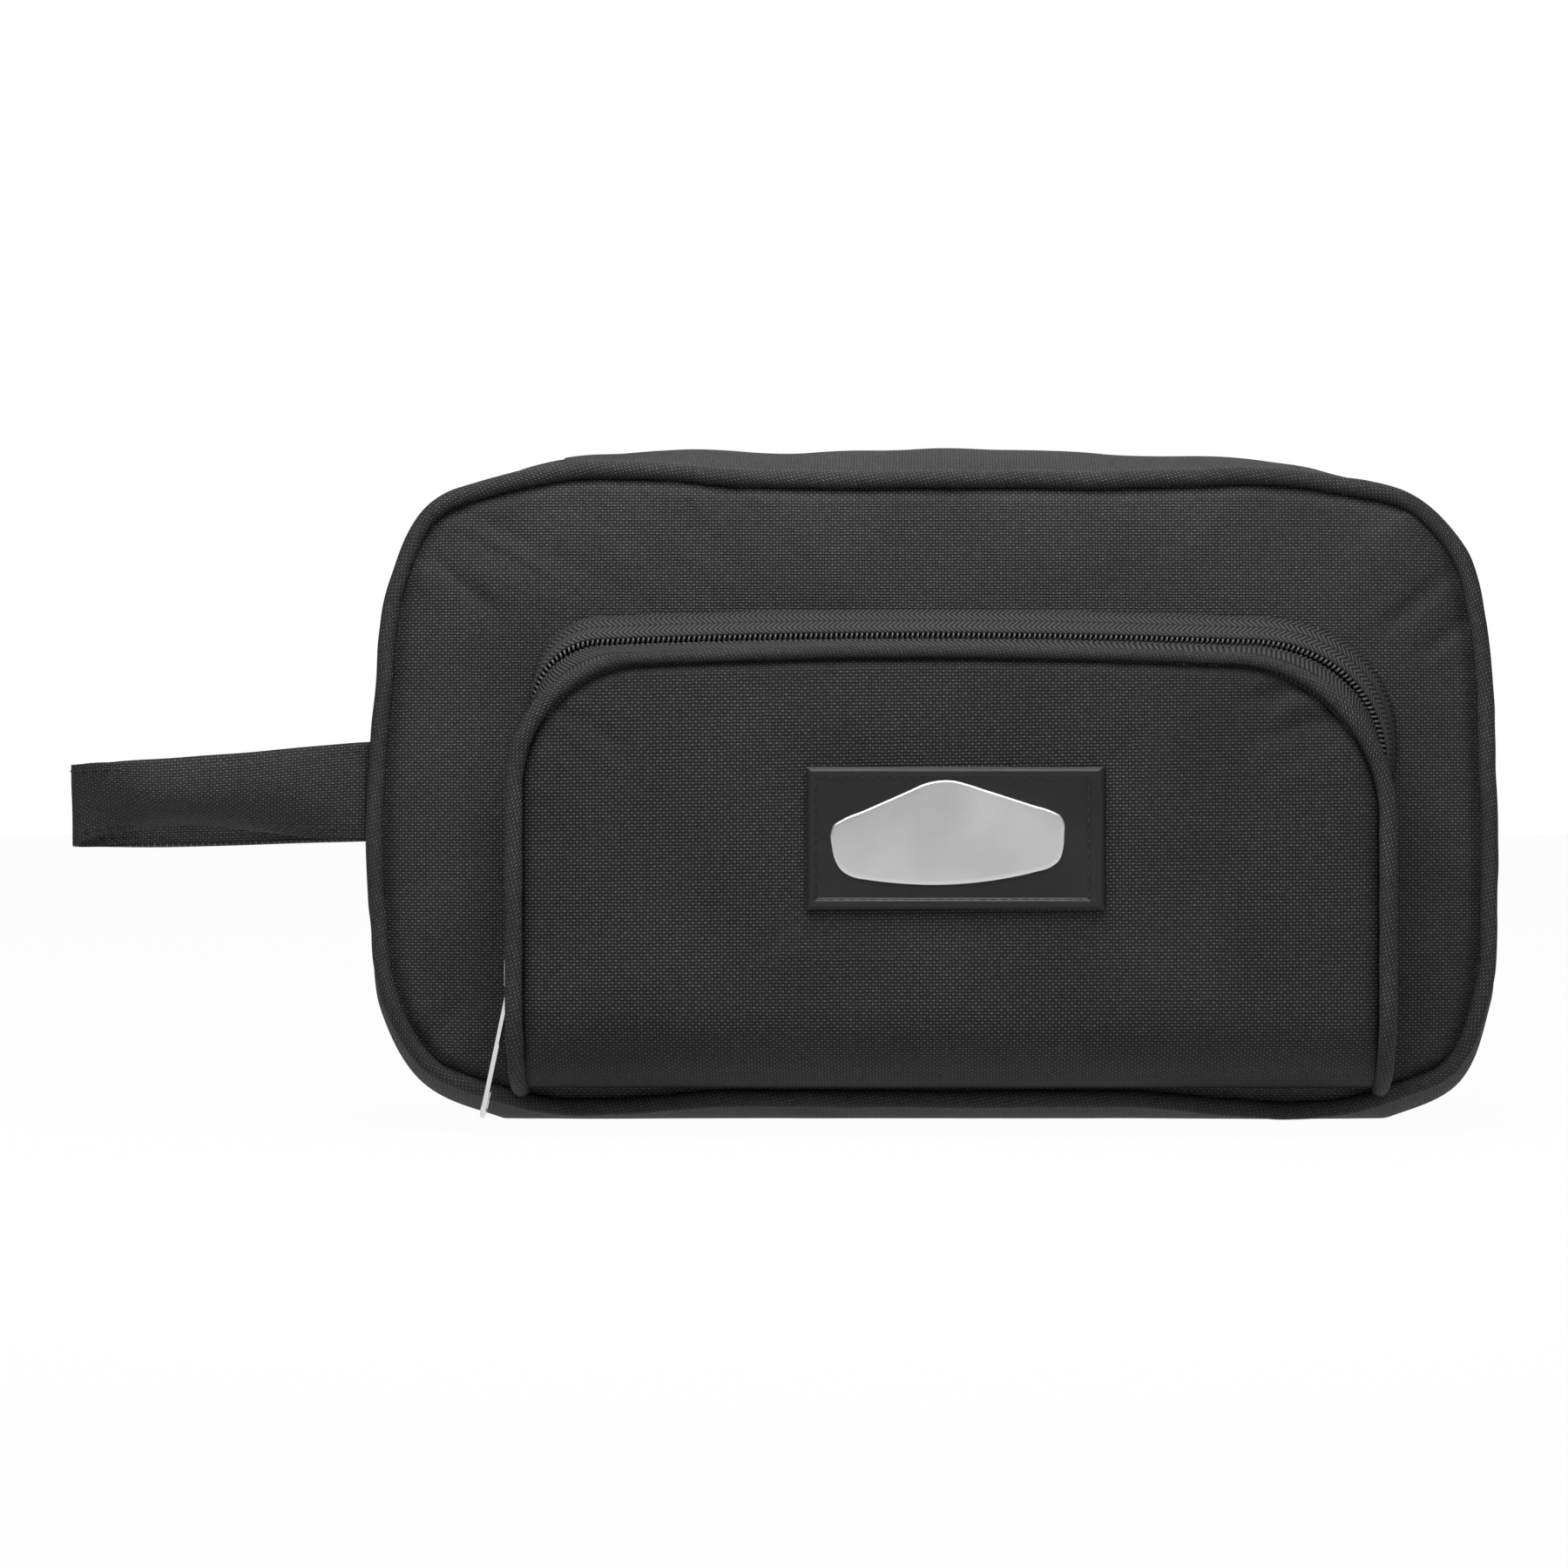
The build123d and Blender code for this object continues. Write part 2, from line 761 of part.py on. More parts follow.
# Pocket pieces that fold down with its flap
with BuildPart() as pocket_panel:
    add(layer(-cloth / 2, cloth / 2))
    with BuildSketch(xz_at(front_y)):
        add(arch(2 * piping_radius, 2 * piping_radius))
    extrude(amount=bag_depth, mode=Mode.INTERSECT)
save(pocket_panel.part, "pocket_panel")

with BuildPart() as pocket_outer_tape:
    add(tape_band)
    add(layer(cloth / 2, zip_setback - tape_inner), mode=Mode.INTERSECT)
    add(left_foot(0), mode=Mode.SUBTRACT)
    add(clear_block, mode=Mode.SUBTRACT)
save(pocket_outer_tape.part, "pocket_outer_tape")

with BuildPart() as pocket_outer_coil:
    add(coil_band)
    add(layer(zip_setback - coil_outer, zip_setback - coil_inner), mode=Mode.INTERSECT)
    add(left_foot(0), mode=Mode.SUBTRACT)
    add(below_chain(), mode=Mode.SUBTRACT)
    add(notches(-1, pocket_mouth_low, pocket_turn_high), mode=Mode.SUBTRACT)
save(pocket_outer_coil.part, "pocket_outer_coil")


def pocket_piping(radius):
    """Eight-sided cord along the pocket's edge, over the top and down both legs."""
    with BuildPart() as tube:
        add(rounded_ring(flush_arch, pocket_y, radius))
        with BuildSketch(Plane.XY.offset(pocket_turn_high)):
            for x in (pocket_left + piping_radius, pocket_right - piping_radius):
                with Locations((x, pocket_y)):
                    RegularPolygon(radius, 8, major_radius=False, rotation=22.5)
        turn_axis = Axis((0, turn_y, pocket_turn_high), (1, 0, 0))
        revolve(axis=turn_axis, revolution_arc=pocket_piping_turn)
    return tube.part


with BuildPart() as pocket_piping_cover:
    add(pocket_piping(piping_radius))
    add(pocket_piping(cord_radius), mode=Mode.SUBTRACT)
save(pocket_piping_cover.part, "pocket_piping_cover")
save(pocket_piping(cord_radius), "pocket_piping_cord")

# Pocket slider, parked low on the left leg, with its tab hanging
pocket_base = Plane(
    (pocket_left + wall_inset + tape_thickness, zip_y, pocket_park),
    x_dir=(0, 0, -1),
    z_dir=(-1, 0, 0),
)
pocket_pivot = pocket_base.origin + pocket_base.z_dir * pivot_rise
lean = radians(pocket_tab_tilt)
pocket_tab_base = Plane(
    pocket_pivot,
    x_dir=(-sin(lean), 0, -cos(lean)),
    z_dir=(-cos(lean), 0, sin(lean)),
)
save(slider(pocket_base), "pocket_slider")
save(pull_tab(pocket_tab_base, pocket_tab_length), "pocket_pull_tab")

# Badge: a patch with folded edges and a bare metal plate
patch_back = pocket_y - cloth / 2
patch_face = patch_back - badge_thickness
badge_mid = ((badge_left + badge_right) / 2, (badge_low + badge_high) / 2)
badge_size = (badge_right - badge_left, badge_high - badge_low)
with BuildPart() as badge_patch:
    with BuildSketch(xz_at(patch_back)):
        with Locations(badge_mid):
            RectangleRounded(*badge_size, badge_corner)
    extrude(amount=badge_thickness)
save(badge_patch.part, "badge_patch")

with BuildPart() as badge_edging:
    with BuildSketch(xz_at(patch_face)):
        with Locations(badge_mid):
            RectangleRounded(*badge_size, badge_corner)
        inner_width = badge_size[0] - badge_border - badge_fold
        with Locations((badge_left + badge_border + inner_width / 2, badge_mid[1])):
            Rectangle(inner_width, badge_size[1] - 2 * badge_border, mode=Mode.SUBTRACT)
    extrude(amount=badge_border_rise)
save(badge_edging.part, "badge_edging")

plate_lean = radians(plate_tilt)
plate_base = Plane(
    (plate_centre_x, patch_face, plate_centre_z),
    x_dir=(cos(plate_lean), 0, sin(plate_lean)),
    z_dir=(0, -1, 0),
)
with BuildPart() as badge_plate:
    with BuildSketch(plate_base) as plate:
        half = plate_width / 2
        side_step = plate_corner / 2
        bottom = -plate_height / 2
        with BuildLine():
            Polyline(
                (side_step - half, bottom + plate_foot),
                (-half, bottom + plate_waist),
                (side_step - half, bottom + plate_shoulder),
                (0, bottom + plate_height),
                (half - side_step, bottom + plate_shoulder),
                (half, bottom + plate_waist),
                (half - side_step, bottom + plate_foot),
            )
            ThreePointArc(
                (half - side_step, bottom + plate_foot), (0, bottom), (side_step - half, bottom + plate_foot)
            )
        make_face()
        fillet(plate.vertices().sort_by(Axis.Y)[-1], plate_apex_radius)
        fillet(plate.vertices().group_by(Axis.X)[0] + plate.vertices().group_by(Axis.X)[-1], plate_corner)
    extrude(amount=plate_thickness)
save(badge_plate.part, "badge_plate")

# Wrist loop: two strap ends caught in the side seam and a loop that swings there
loop_y = front_y + loop_behind
loop_pivot_x = -bag_width / 2 - loop_root_out
root_half = strap_thickness
with BuildPart() as loop_root:
    with BuildSketch(Plane.XY.offset(strap_low)):
        with Locations((loop_pivot_x / 2, loop_y)):
            Rectangle(-loop_pivot_x, 2 * root_half)
        with Locations((loop_pivot_x, loop_y)):
            Circle(root_half)
    extrude(amount=strap_width)
    add(gusset_outside, mode=Mode.SUBTRACT)
save(loop_root.part, "wrist_loop_root")


def loop_shape(wall):
    """Drop-shaped plan of the loop, this much outside its gap."""
    near_gap = strap_thickness / 4
    near_x = loop_pivot_x - root_half - fold_clearance - strap_thickness - near_gap
    far_x = loop_gap / 2 + strap_thickness - loop_reach
    with BuildSketch() as plan:
        with Locations((near_x, loop_y)):
            Circle(near_gap + wall)
        with Locations((far_x, loop_y)):
            Circle(loop_gap / 2 + wall)
        make_hull()
    return plan.sketch


with BuildPart() as wrist_loop:
    with BuildSketch(Plane.XY.offset(strap_low)):
        add(loop_shape(strap_thickness))
        add(loop_shape(0), mode=Mode.SUBTRACT)
    extrude(amount=strap_width)
save(wrist_loop.part, "wrist_loop")

print("front lip hinge", (0, -lip_hinge_y, lip_hinge_z))
print("main track centre", track_low, "park turn", degrees(park_turn))
print("main pivot", main_pivot)
print("pocket fold", (0, seam_y, pocket_seam_high))
print("pocket pivot", pocket_pivot)
print("loop pivot", (loop_pivot_x, loop_y))
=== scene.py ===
# %% [markdown]
# # A zipped wash bag
# This lesson dresses the solid model of a black wash bag so that it looks like the real one.
# The solid model fixes every size and every joint. Here each soft piece gets its own surface,
# made from curves and formulas, with cloth coordinates in metres so that a weave has its true scale.

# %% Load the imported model
from contextlib import contextmanager
from math import pi, radians

import bmesh
import bpy
import numpy as np
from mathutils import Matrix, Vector, noise


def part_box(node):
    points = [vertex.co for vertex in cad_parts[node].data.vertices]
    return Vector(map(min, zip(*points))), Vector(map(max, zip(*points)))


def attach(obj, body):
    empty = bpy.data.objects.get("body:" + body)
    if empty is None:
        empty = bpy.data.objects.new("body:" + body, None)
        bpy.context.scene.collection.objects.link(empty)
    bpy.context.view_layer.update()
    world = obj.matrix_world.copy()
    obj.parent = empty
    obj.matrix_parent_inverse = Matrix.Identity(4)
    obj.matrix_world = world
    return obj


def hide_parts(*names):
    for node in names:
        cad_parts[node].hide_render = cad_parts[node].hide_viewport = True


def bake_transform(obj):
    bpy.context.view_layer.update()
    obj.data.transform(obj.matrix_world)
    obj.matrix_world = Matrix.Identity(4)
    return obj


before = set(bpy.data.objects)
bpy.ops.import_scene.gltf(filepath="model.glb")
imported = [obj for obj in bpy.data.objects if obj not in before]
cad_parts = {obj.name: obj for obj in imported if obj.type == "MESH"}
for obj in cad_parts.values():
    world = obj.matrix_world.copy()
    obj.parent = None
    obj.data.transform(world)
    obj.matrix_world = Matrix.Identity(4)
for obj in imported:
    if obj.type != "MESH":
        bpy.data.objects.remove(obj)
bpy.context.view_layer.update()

# %% [markdown]
# ## Helpers for curves and grids
# Nearly every piece of a sewn bag is a strip or a sheet that follows a seam. One helper draws a smooth
# curve through a few points and walks it in equal steps. Another turns a grid of points into a mesh.
# Points are in millimetres, as a pattern cutter would write them, and the mesh is in metres.

# %% Smooth curves in equal steps
MM = 0.001


def even_steps(curve, count, closed=False):
    """The same curve in steps of equal length."""
    run = np.r_[0, np.cumsum(np.linalg.norm(np.diff(curve, axis=0), axis=1))]
    wanted = np.linspace(0, run[-1], count, endpoint=not closed)
    return np.column_stack([np.interp(wanted, run, curve[:, k]) for k in range(curve.shape[1])])


def smooth_path(points, count, closed=False):
    """Smooth curve through a few points, in equal steps."""
    p = np.array(points, float)
    p = np.vstack([p[-1], p, p[:2]]) if closed else np.vstack([2 * p[0] - p[1], p, 2 * p[-1] - p[-2]])
    gap = np.linalg.norm(np.diff(p, axis=0), axis=1)[:, None]
    slope = np.diff(p, axis=0) / gap
    bend = (slope[:-1] * gap[1:] + slope[1:] * gap[:-1]) / (gap[:-1] + gap[1:])
    f = np.linspace(0, 1, 24, endpoint=False)[:, None]
    parts = []
    for k in range(len(bend) - 1):
        start, end, h = p[k + 1], p[k + 2], gap[k + 1]
        parts.append(
            (2 * f**3 - 3 * f**2 + 1) * start + (f**3 - 2 * f**2 + f) * h * bend[k]
            + (3 * f**2 - 2 * f**3) * end + (f**3 - f**2) * h * bend[k + 1]
        )
    return even_steps(np.vstack(parts + [p[-2][None]]), count, closed)


def run_along(path, closed=False):
    """Length walked so far at each point of a path."""
    steps = np.diff(np.vstack([path, path[:1]]) if closed else path, axis=0)
    return np.r_[0, np.cumsum(np.linalg.norm(steps, axis=1))]


def ease(low, high, value):
    """Smooth step from 0 at low to 1 at high."""
    t = np.clip((value - low) / (high - low), 0, 1)
    return t * t * (3 - 2 * t)


def mix(start, end, share):
    """Value this share of the way from start to end."""
    return start + (end - start) * share


def soft_noise(*coordinates):
    """Smooth noise from -1 to 1 over arrays of coordinates."""
    flat = [np.broadcast_to(c, np.broadcast_shapes(*map(np.shape, coordinates))).ravel() for c in coordinates]
    flat += [np.zeros_like(flat[0])] * (3 - len(flat))
    values = [noise.noise(Vector(p)) for p in zip(*flat)]
    return np.array(values).reshape(np.broadcast_shapes(*map(np.shape, coordinates)))


# %% Grids of points to meshes
def new_object(name, data):
    """Object placed in the scene."""
    item = bpy.data.objects.new(name, data)
    bpy.context.scene.collection.objects.link(item)
    return item


@contextmanager
def open_mesh(piece):
    """The piece's mesh to edit, written back afterwards."""
    shape = bmesh.new()
    shape.from_mesh(piece.data)
    yield shape
    shape.to_mesh(piece.data)
    shape.free()


def cloth_mesh(name, points, cloth, around=False, cross=False):
    """Mesh over a grid of points; around joins the last row to the first, cross the last column."""
    rows, cols = points.shape[:2]
    index = np.arange(rows * cols).reshape(rows, cols)
    if around:
        index = np.vstack([index, index[:1]])
    if cross:
        index = np.hstack([index, index[:, :1]])
    corners = [index[:-1, :-1], index[1:, :-1], index[1:, 1:], index[:-1, 1:]]
    faces = np.stack(corners, -1).reshape(-1, 4)
    uv = [cloth[:-1, :-1], cloth[1:, :-1], cloth[1:, 1:], cloth[:-1, 1:]]
    uv = np.stack(uv, -2).reshape(-1, 2)
    mesh = bpy.data.meshes.new(name)
    mesh.from_pydata((points.reshape(-1, 3) * MM).tolist(), [], faces.tolist())
    mesh.uv_layers.new(name="cloth").data.foreach_set("uv", (uv * MM).astype(np.float32).ravel())
    mesh.polygons.foreach_set("use_smooth", np.ones(len(faces), bool))
    return new_object(name, mesh)


def cloth_of(along, across):
    """Cloth coordinates of a grid from its lengths along and across."""
    return np.stack(np.broadcast_arrays(np.asarray(along)[:, None], np.asarray(across)[None, :]), -1)


def keep_modifiers(piece):
    """Write the modifiers' result into the mesh."""
    shape = piece.evaluated_get(bpy.context.evaluated_depsgraph_get())
    mesh = bpy.data.meshes.new_from_object(shape)
    piece.modifiers.clear()
    piece.data = mesh
    return piece


def thicken(piece, thickness, offset=-1.0):
    """Give a sheet its thickness, in millimetres, behind its outer face."""
    solid = piece.modifiers.new("thickness", "SOLIDIFY")
    solid.thickness = thickness * MM
    solid.offset = offset
    return keep_modifiers(piece)


def tidy(piece, outward=None):
    """Merge points that meet, and turn all faces one way."""
    same_place = 0.01 * MM
    with open_mesh(piece) as shape:
        bmesh.ops.remove_doubles(shape, verts=shape.verts, dist=same_place)
        bmesh.ops.dissolve_degenerate(shape, edges=shape.edges, dist=same_place)
        bmesh.ops.recalc_face_normals(shape, faces=shape.faces)
        if outward is not None:
            total = sum((f.normal * f.calc_area() for f in shape.faces), Vector())
            if total.dot(Vector(outward)) < 0:
                bmesh.ops.reverse_faces(shape, faces=shape.faces)
    return piece


# %% [markdown]
# ## The camera
# The photograph was taken square to the front, from about a metre away. The long lens keeps the box
# shape calm. The bag sits right of the middle because the wrist loop needs room, so the lens is shifted.

# %% Camera at the photograph's viewing angle
camera_data = bpy.data.cameras.new("camera")
camera_data.lens = 100.3
camera_data.sensor_width = 36
camera_data.shift_x = -0.0936
camera = new_object("camera", camera_data)
camera.location = (0, -1.05, 0.0801)
camera.rotation_euler = (pi / 2, 0, 0)
bpy.context.scene.camera = camera

# %% [markdown]
# ## Shared material effects
# A woven cloth, a twill tape and a fine grain each turn up on several pieces, so each is a node group
# with named inputs. The groups give masks and heights only; the shader stays in the material.

# %% Small helpers for shader nodes


def new_group(name, inputs, outputs):
    """Empty shader node group with these sockets, and its two end nodes."""
    tree = bpy.data.node_groups.new(name, "ShaderNodeTree")
    for label, kind, value in inputs:
        socket = tree.interface.new_socket(label, in_out="INPUT", socket_type=kind)
        if value is not None:
            socket.default_value = value
    for label in outputs:
        tree.interface.new_socket(label, in_out="OUTPUT", socket_type="NodeSocketFloat")
    return tree, tree.nodes.new("NodeGroupInput"), tree.nodes.new("NodeGroupOutput")


def plug(tree, source, socket):
    """Link a socket, or set a constant."""
    if isinstance(source, (int, float)):
        socket.default_value = source
    else:
        tree.links.new(source, socket)


def math(tree, operation, first, second=None, third=None):
    """One maths node and its result."""
    node = tree.nodes.new("ShaderNodeMath")
    node.operation = operation
    for source, socket in zip((first, second, third), node.inputs):
        if source is not None:
            plug(tree, source, socket)
    return node.outputs[0]


def rough_noise(tree, vector, scale, detail=2.0):
    """Noise from 0 to 1 over a vector."""
    node = tree.nodes.new("ShaderNodeTexNoise")
    node.inputs["Scale"].default_value = scale
    node.inputs["Detail"].default_value = detail
    tree.links.new(vector, node.inputs["Vector"])
    return node.outputs["Fac"]


def spread(tree, value, low, high, to_low=0.0, to_high=1.0):
    """Value stretched from one range to another, and held inside it."""
    node = tree.nodes.new("ShaderNodeMapRange")
    for source, socket in zip((value, low, high, to_low, to_high), node.inputs):
        plug(tree, source, socket)
    return node.outputs[0]


# %% [markdown]
# ### Plain weave
# Coarse polyester threads go over and under each other, so thread tops stand in a staggered lattice.
# The product of two cosines has just that shape: high where a warp thread is on top, low where it dips.
# The cloth coordinates are real metres, so the thread pitch is the one measured on the bag.

# %% Plain weave group
weave, source, result = new_group(
    "plain weave",
    [
        ("Cloth", "NodeSocketVector", None),
        ("Warp Pitch", "NodeSocketFloat", 0.0007),
        ("Weft Pitch", "NodeSocketFloat", 0.00065),
        ("Unevenness", "NodeSocketFloat", 0.5),
    ],
    ["Height", "Lit Thread Top", "Blotch"],
)
split_cloth = weave.nodes.new("ShaderNodeSeparateXYZ")
weave.links.new(source.outputs["Cloth"], split_cloth.inputs[0])
wander = math(weave, "SUBTRACT", rough_noise(weave, source.outputs["Cloth"], 260.0), 0.5)
wander = math(weave, "MULTIPLY", wander, source.outputs["Unevenness"])
waves = []
for axis, pitch in enumerate(("Warp Pitch", "Weft Pitch")):
    count = math(weave, "DIVIDE", split_cloth.outputs[axis], source.outputs[pitch])
    count = math(weave, "ADD", count, wander)
    waves.append(math(weave, "COSINE", math(weave, "MULTIPLY", count, pi)))
lattice = math(weave, "MULTIPLY", *waves)
fuzz = rough_noise(weave, source.outputs["Cloth"], 5200.0, 1.0)
slub = rough_noise(weave, source.outputs["Cloth"], 700.0, 1.0)
float_row = math(weave, "POWER", math(weave, "ABSOLUTE", waves[1]), 2.4)
weft_top = math(weave, "MULTIPLY", spread(weave, lattice, 0.0, 0.5), float_row)
warp_top = spread(weave, lattice, -0.1, -1.0, 0.0, 0.3)
top = math(weave, "MAXIMUM", weft_top, warp_top)
height = math(weave, "MULTIPLY_ADD", fuzz, 0.22, top)
height = math(weave, "MULTIPLY_ADD", slub, 0.3, height)
weave.links.new(height, result.inputs["Height"])
# The thread mask is lighter on thread tops and made uneven by slubs. It gives the cloths a painted highlight on
# the tops and painted shade in the gaps.
weave.links.new(math(weave, "MULTIPLY", top, spread(weave, slub, 0.3, 0.7, 0.55, 1.0)), result.inputs["Lit Thread Top"])
weave.links.new(rough_noise(weave, source.outputs["Cloth"], 38.0, 3.0), result.inputs["Blotch"])

# %% [markdown]
# ### Twill tape
# Zip tape is woven so that fine ribs climb one way and then the other, like a row of arrows. A ping-pong
# wave across the tape shifts the phase of ribs that run along it.

# %% Twill tape group
twill, source, result = new_group(
    "twill tape",
    [
        ("Cloth", "NodeSocketVector", None),
        ("Rib Pitch", "NodeSocketFloat", 0.0012),
        ("Band Width", "NodeSocketFloat", 0.0022),
    ],
    ["Height", "Lit Thread Top"],
)
split_tape = twill.nodes.new("ShaderNodeSeparateXYZ")
twill.links.new(source.outputs["Cloth"], split_tape.inputs[0])
climb = math(twill, "PINGPONG", split_tape.outputs[1], source.outputs["Band Width"])
phase = math(twill, "ADD", split_tape.outputs[0], math(twill, "MULTIPLY", climb, 0.8))
phase = math(twill, "DIVIDE", phase, source.outputs["Rib Pitch"])
rib = math(twill, "SINE", math(twill, "MULTIPLY", phase, 2 * pi))
rib = spread(twill, rib, -0.9, 0.9)
edge = spread(twill, math(twill, "DIVIDE", climb, source.outputs["Band Width"]), 0.0, 0.14)
rib = math(twill, "MULTIPLY", rib, edge)
fibres = rough_noise(twill, source.outputs["Cloth"], 4200.0, 1.0)
twill.links.new(math(twill, "MULTIPLY_ADD", fibres, 0.3, rib), result.inputs["Height"])
# The rib mask gives the tape a painted highlight on each rib and painted shade between the ribs.
twill.links.new(rib, result.inputs["Lit Thread Top"])

# %% [markdown]
# ### Fine grain
# Coated sheet, moulded nylon and rolled metal all carry a grain too small to model. It is noise at two
# sizes, stretched along one direction when the surface was rolled or brushed.

# %% Fine grain group
grain, source, result = new_group(
    "fine grain",
    [
        ("Position", "NodeSocketVector", None),
        ("Size", "NodeSocketFloat", 0.0006),
        ("Stretch", "NodeSocketFloat", 1.0),
    ],
    ["Height", "Blotch"],
)
split_grain = grain.nodes.new("ShaderNodeSeparateXYZ")
grain.links.new(source.outputs["Position"], split_grain.inputs[0])
shrink = math(grain, "DIVIDE", 1.0, source.outputs["Size"])
joined = grain.nodes.new("ShaderNodeCombineXYZ")
long_step = math(grain, "MULTIPLY", split_grain.outputs[0], shrink)
grain.links.new(math(grain, "DIVIDE", long_step, source.outputs["Stretch"]), joined.inputs[0])
for axis in (1, 2):
    grain.links.new(math(grain, "MULTIPLY", split_grain.outputs[axis], shrink), joined.inputs[axis])
grain.links.new(rough_noise(grain, joined.outputs[0], 1.0, 3.0), result.inputs["Height"])
grain.links.new(rough_noise(grain, source.outputs["Position"], 60.0, 3.0), result.inputs["Blotch"])
print("node groups:", [g.name for g in bpy.data.node_groups])

# %% [markdown]
# ## Materials
# Each material places a group, mixes two tones with its masks and feeds the height into a bump.
# Black cloth is never quite black: thread tops catch the light and the gaps between them stay dark.
# The woven cloths and the zip tape paint this into their colour: a painted highlight on thread tops and
# ribs, and painted shade in the gaps.

# %% Helpers that build a material


def new_material(name):
    """Material with its shader, and a helper pair to add to it."""
    material = bpy.data.materials.new(name)
    material.use_nodes = True
    tree = material.node_tree
    return material, tree, tree.nodes["Principled BSDF"]


def place(tree, group, vector, **values):
    """A shared group in a material, with its own values."""
    node = tree.nodes.new("ShaderNodeGroup")
    node.node_tree = group
    tree.links.new(vector, node.inputs[0])
    for label, value in values.items():
        node.inputs[label.replace("_", " ")].default_value = value
    return node.outputs


def cloth_vector(tree, turn=0.0):
    """Cloth coordinates in metres, turned when the cloth is cut on the bias."""
    coordinates = tree.nodes.new("ShaderNodeUVMap")
    coordinates.uv_map = "cloth"
    if not turn:
        return coordinates.outputs[0]
    node = tree.nodes.new("ShaderNodeMapping")
    node.inputs["Rotation"].default_value[2] = radians(turn)
    tree.links.new(coordinates.outputs[0], node.inputs["Vector"])
    return node.outputs[0]


def two_tones(tree, shader, mask, dark, light, blotch=None, strength=0.25):
    """Base colour between two tones, made a little uneven by a blotch."""
    node = tree.nodes.new("ShaderNodeMix")
    node.data_type = "RGBA"
    tree.links.new(mask, node.inputs["Factor"])
    node.inputs["A"].default_value = (*dark, 1)
    node.inputs["B"].default_value = (*light, 1)
    colour = node.outputs["Result"]
    if blotch is not None:
        shade = spread(tree, blotch, 0.25, 0.75, 1 - strength, 1 + strength)
        scale = tree.nodes.new("ShaderNodeVectorMath")
        scale.operation = "SCALE"
        tree.links.new(colour, scale.inputs[0])
        tree.links.new(shade, scale.inputs["Scale"])
        colour = scale.outputs[0]
    tree.links.new(colour, shader.inputs["Base Color"])


def raise_bump(tree, shader, height, distance, strength=1.0):
    """Bump from a height, in millimetres."""
    node = tree.nodes.new("ShaderNodeBump")
    node.inputs["Strength"].default_value = strength
    node.inputs["Distance"].default_value = distance * MM
    tree.links.new(height, node.inputs["Height"])
    tree.links.new(node.outputs[0], shader.inputs["Normal"])


def woven(name, warp, weft, dark, light, turn=0.0, uneven=0.5, bump=0.3, rough=(0.8, 0.5)):
    """Woven cloth with its own thread pitches, in millimetres."""
    material, tree, shader = new_material(name)
    out = place(
        tree, weave, cloth_vector(tree, turn), Warp_Pitch=warp * MM, Weft_Pitch=weft * MM, Unevenness=uneven
    )
    # Thread tops take the light tone, a painted highlight, and the gaps between them take the dark tone, painted
    # shade. The blotch is the cloth's own uneven tone.
    two_tones(tree, shader, out["Lit Thread Top"], dark, light, out["Blotch"])
    tree.links.new(spread(tree, out["Lit Thread Top"], 0, 1, *rough), shader.inputs["Roughness"])
    shader.inputs["Specular IOR Level"].default_value = 0.3
    raise_bump(tree, shader, out["Height"], bump)
    return material


# %% Cloth materials
body_cloth = woven("body cloth", 0.70, 0.65, (0.010, 0.010, 0.010), (0.125, 0.125, 0.128))
# The pocket is cut from the body cloth. Its darker tones here are painted shade on the pocket's face.
pocket_cloth_painted_shade = woven("pocket cloth painted shade", 0.72, 0.72, (0.006, 0.006, 0.006), (0.098, 0.098, 0.100))
piping_cloth = woven(
    "piping cloth", 0.62, 0.58, (0.010, 0.010, 0.010), (0.135, 0.135, 0.138), turn=30, bump=0.2
)
strap_cloth = woven("strap cloth", 0.70, 0.64, (0.014, 0.014, 0.014), (0.130, 0.130, 0.133))
binding_cloth = woven("binding cloth", 0.4, 0.4, (0.012, 0.012, 0.012), (0.06, 0.06, 0.062), bump=0.1)

# %% Tape and coil materials
tape_cloth, tree, shader = new_material("tape cloth")
out = place(tree, twill, cloth_vector(tree))
# Ribs take the light tone, a painted highlight, and the grooves between them take the dark tone, painted shade.
two_tones(tree, shader, out["Lit Thread Top"], (0.006, 0.006, 0.006), (0.062, 0.062, 0.064))
shader.inputs["Roughness"].default_value = 0.7
shader.inputs["Specular IOR Level"].default_value = 0.3
raise_bump(tree, shader, out["Height"], 0.15)


def place_position(tree):
    """Each point's own place on the object, in metres."""
    return tree.nodes.new("ShaderNodeTexCoord").outputs["Object"]


coil_nylon, tree, shader = new_material("coil nylon")
out = place(tree, grain, place_position(tree), Size=0.0003)
two_tones(tree, shader, out["Height"], (0.05, 0.05, 0.05), (0.11, 0.11, 0.112))
tree.links.new(spread(tree, out["Blotch"], 0.3, 0.7, 0.2, 0.3), shader.inputs["Roughness"])
raise_bump(tree, shader, out["Height"], 0.02)

thread_material, tree, shader = new_material("sewing thread")
out = place(tree, grain, place_position(tree), Size=0.0002)
two_tones(tree, shader, out["Height"], (0.006, 0.006, 0.006), (0.028, 0.028, 0.029))
shader.inputs["Roughness"].default_value = 0.55
raise_bump(tree, shader, out["Height"], 0.05)

# %% Coated sheet and metals
coated_sheet, tree, shader = new_material("coated sheet")
out = place(tree, grain, place_position(tree), Size=0.0007)
two_tones(tree, shader, out["Height"], (0.008, 0.008, 0.008), (0.015, 0.015, 0.016), out["Blotch"])
tree.links.new(spread(tree, out["Blotch"], 0.3, 0.7, 0.36, 0.5), shader.inputs["Roughness"])
shader.inputs["Specular IOR Level"].default_value = 0.35
raise_bump(tree, shader, out["Height"], 0.06, 0.6)


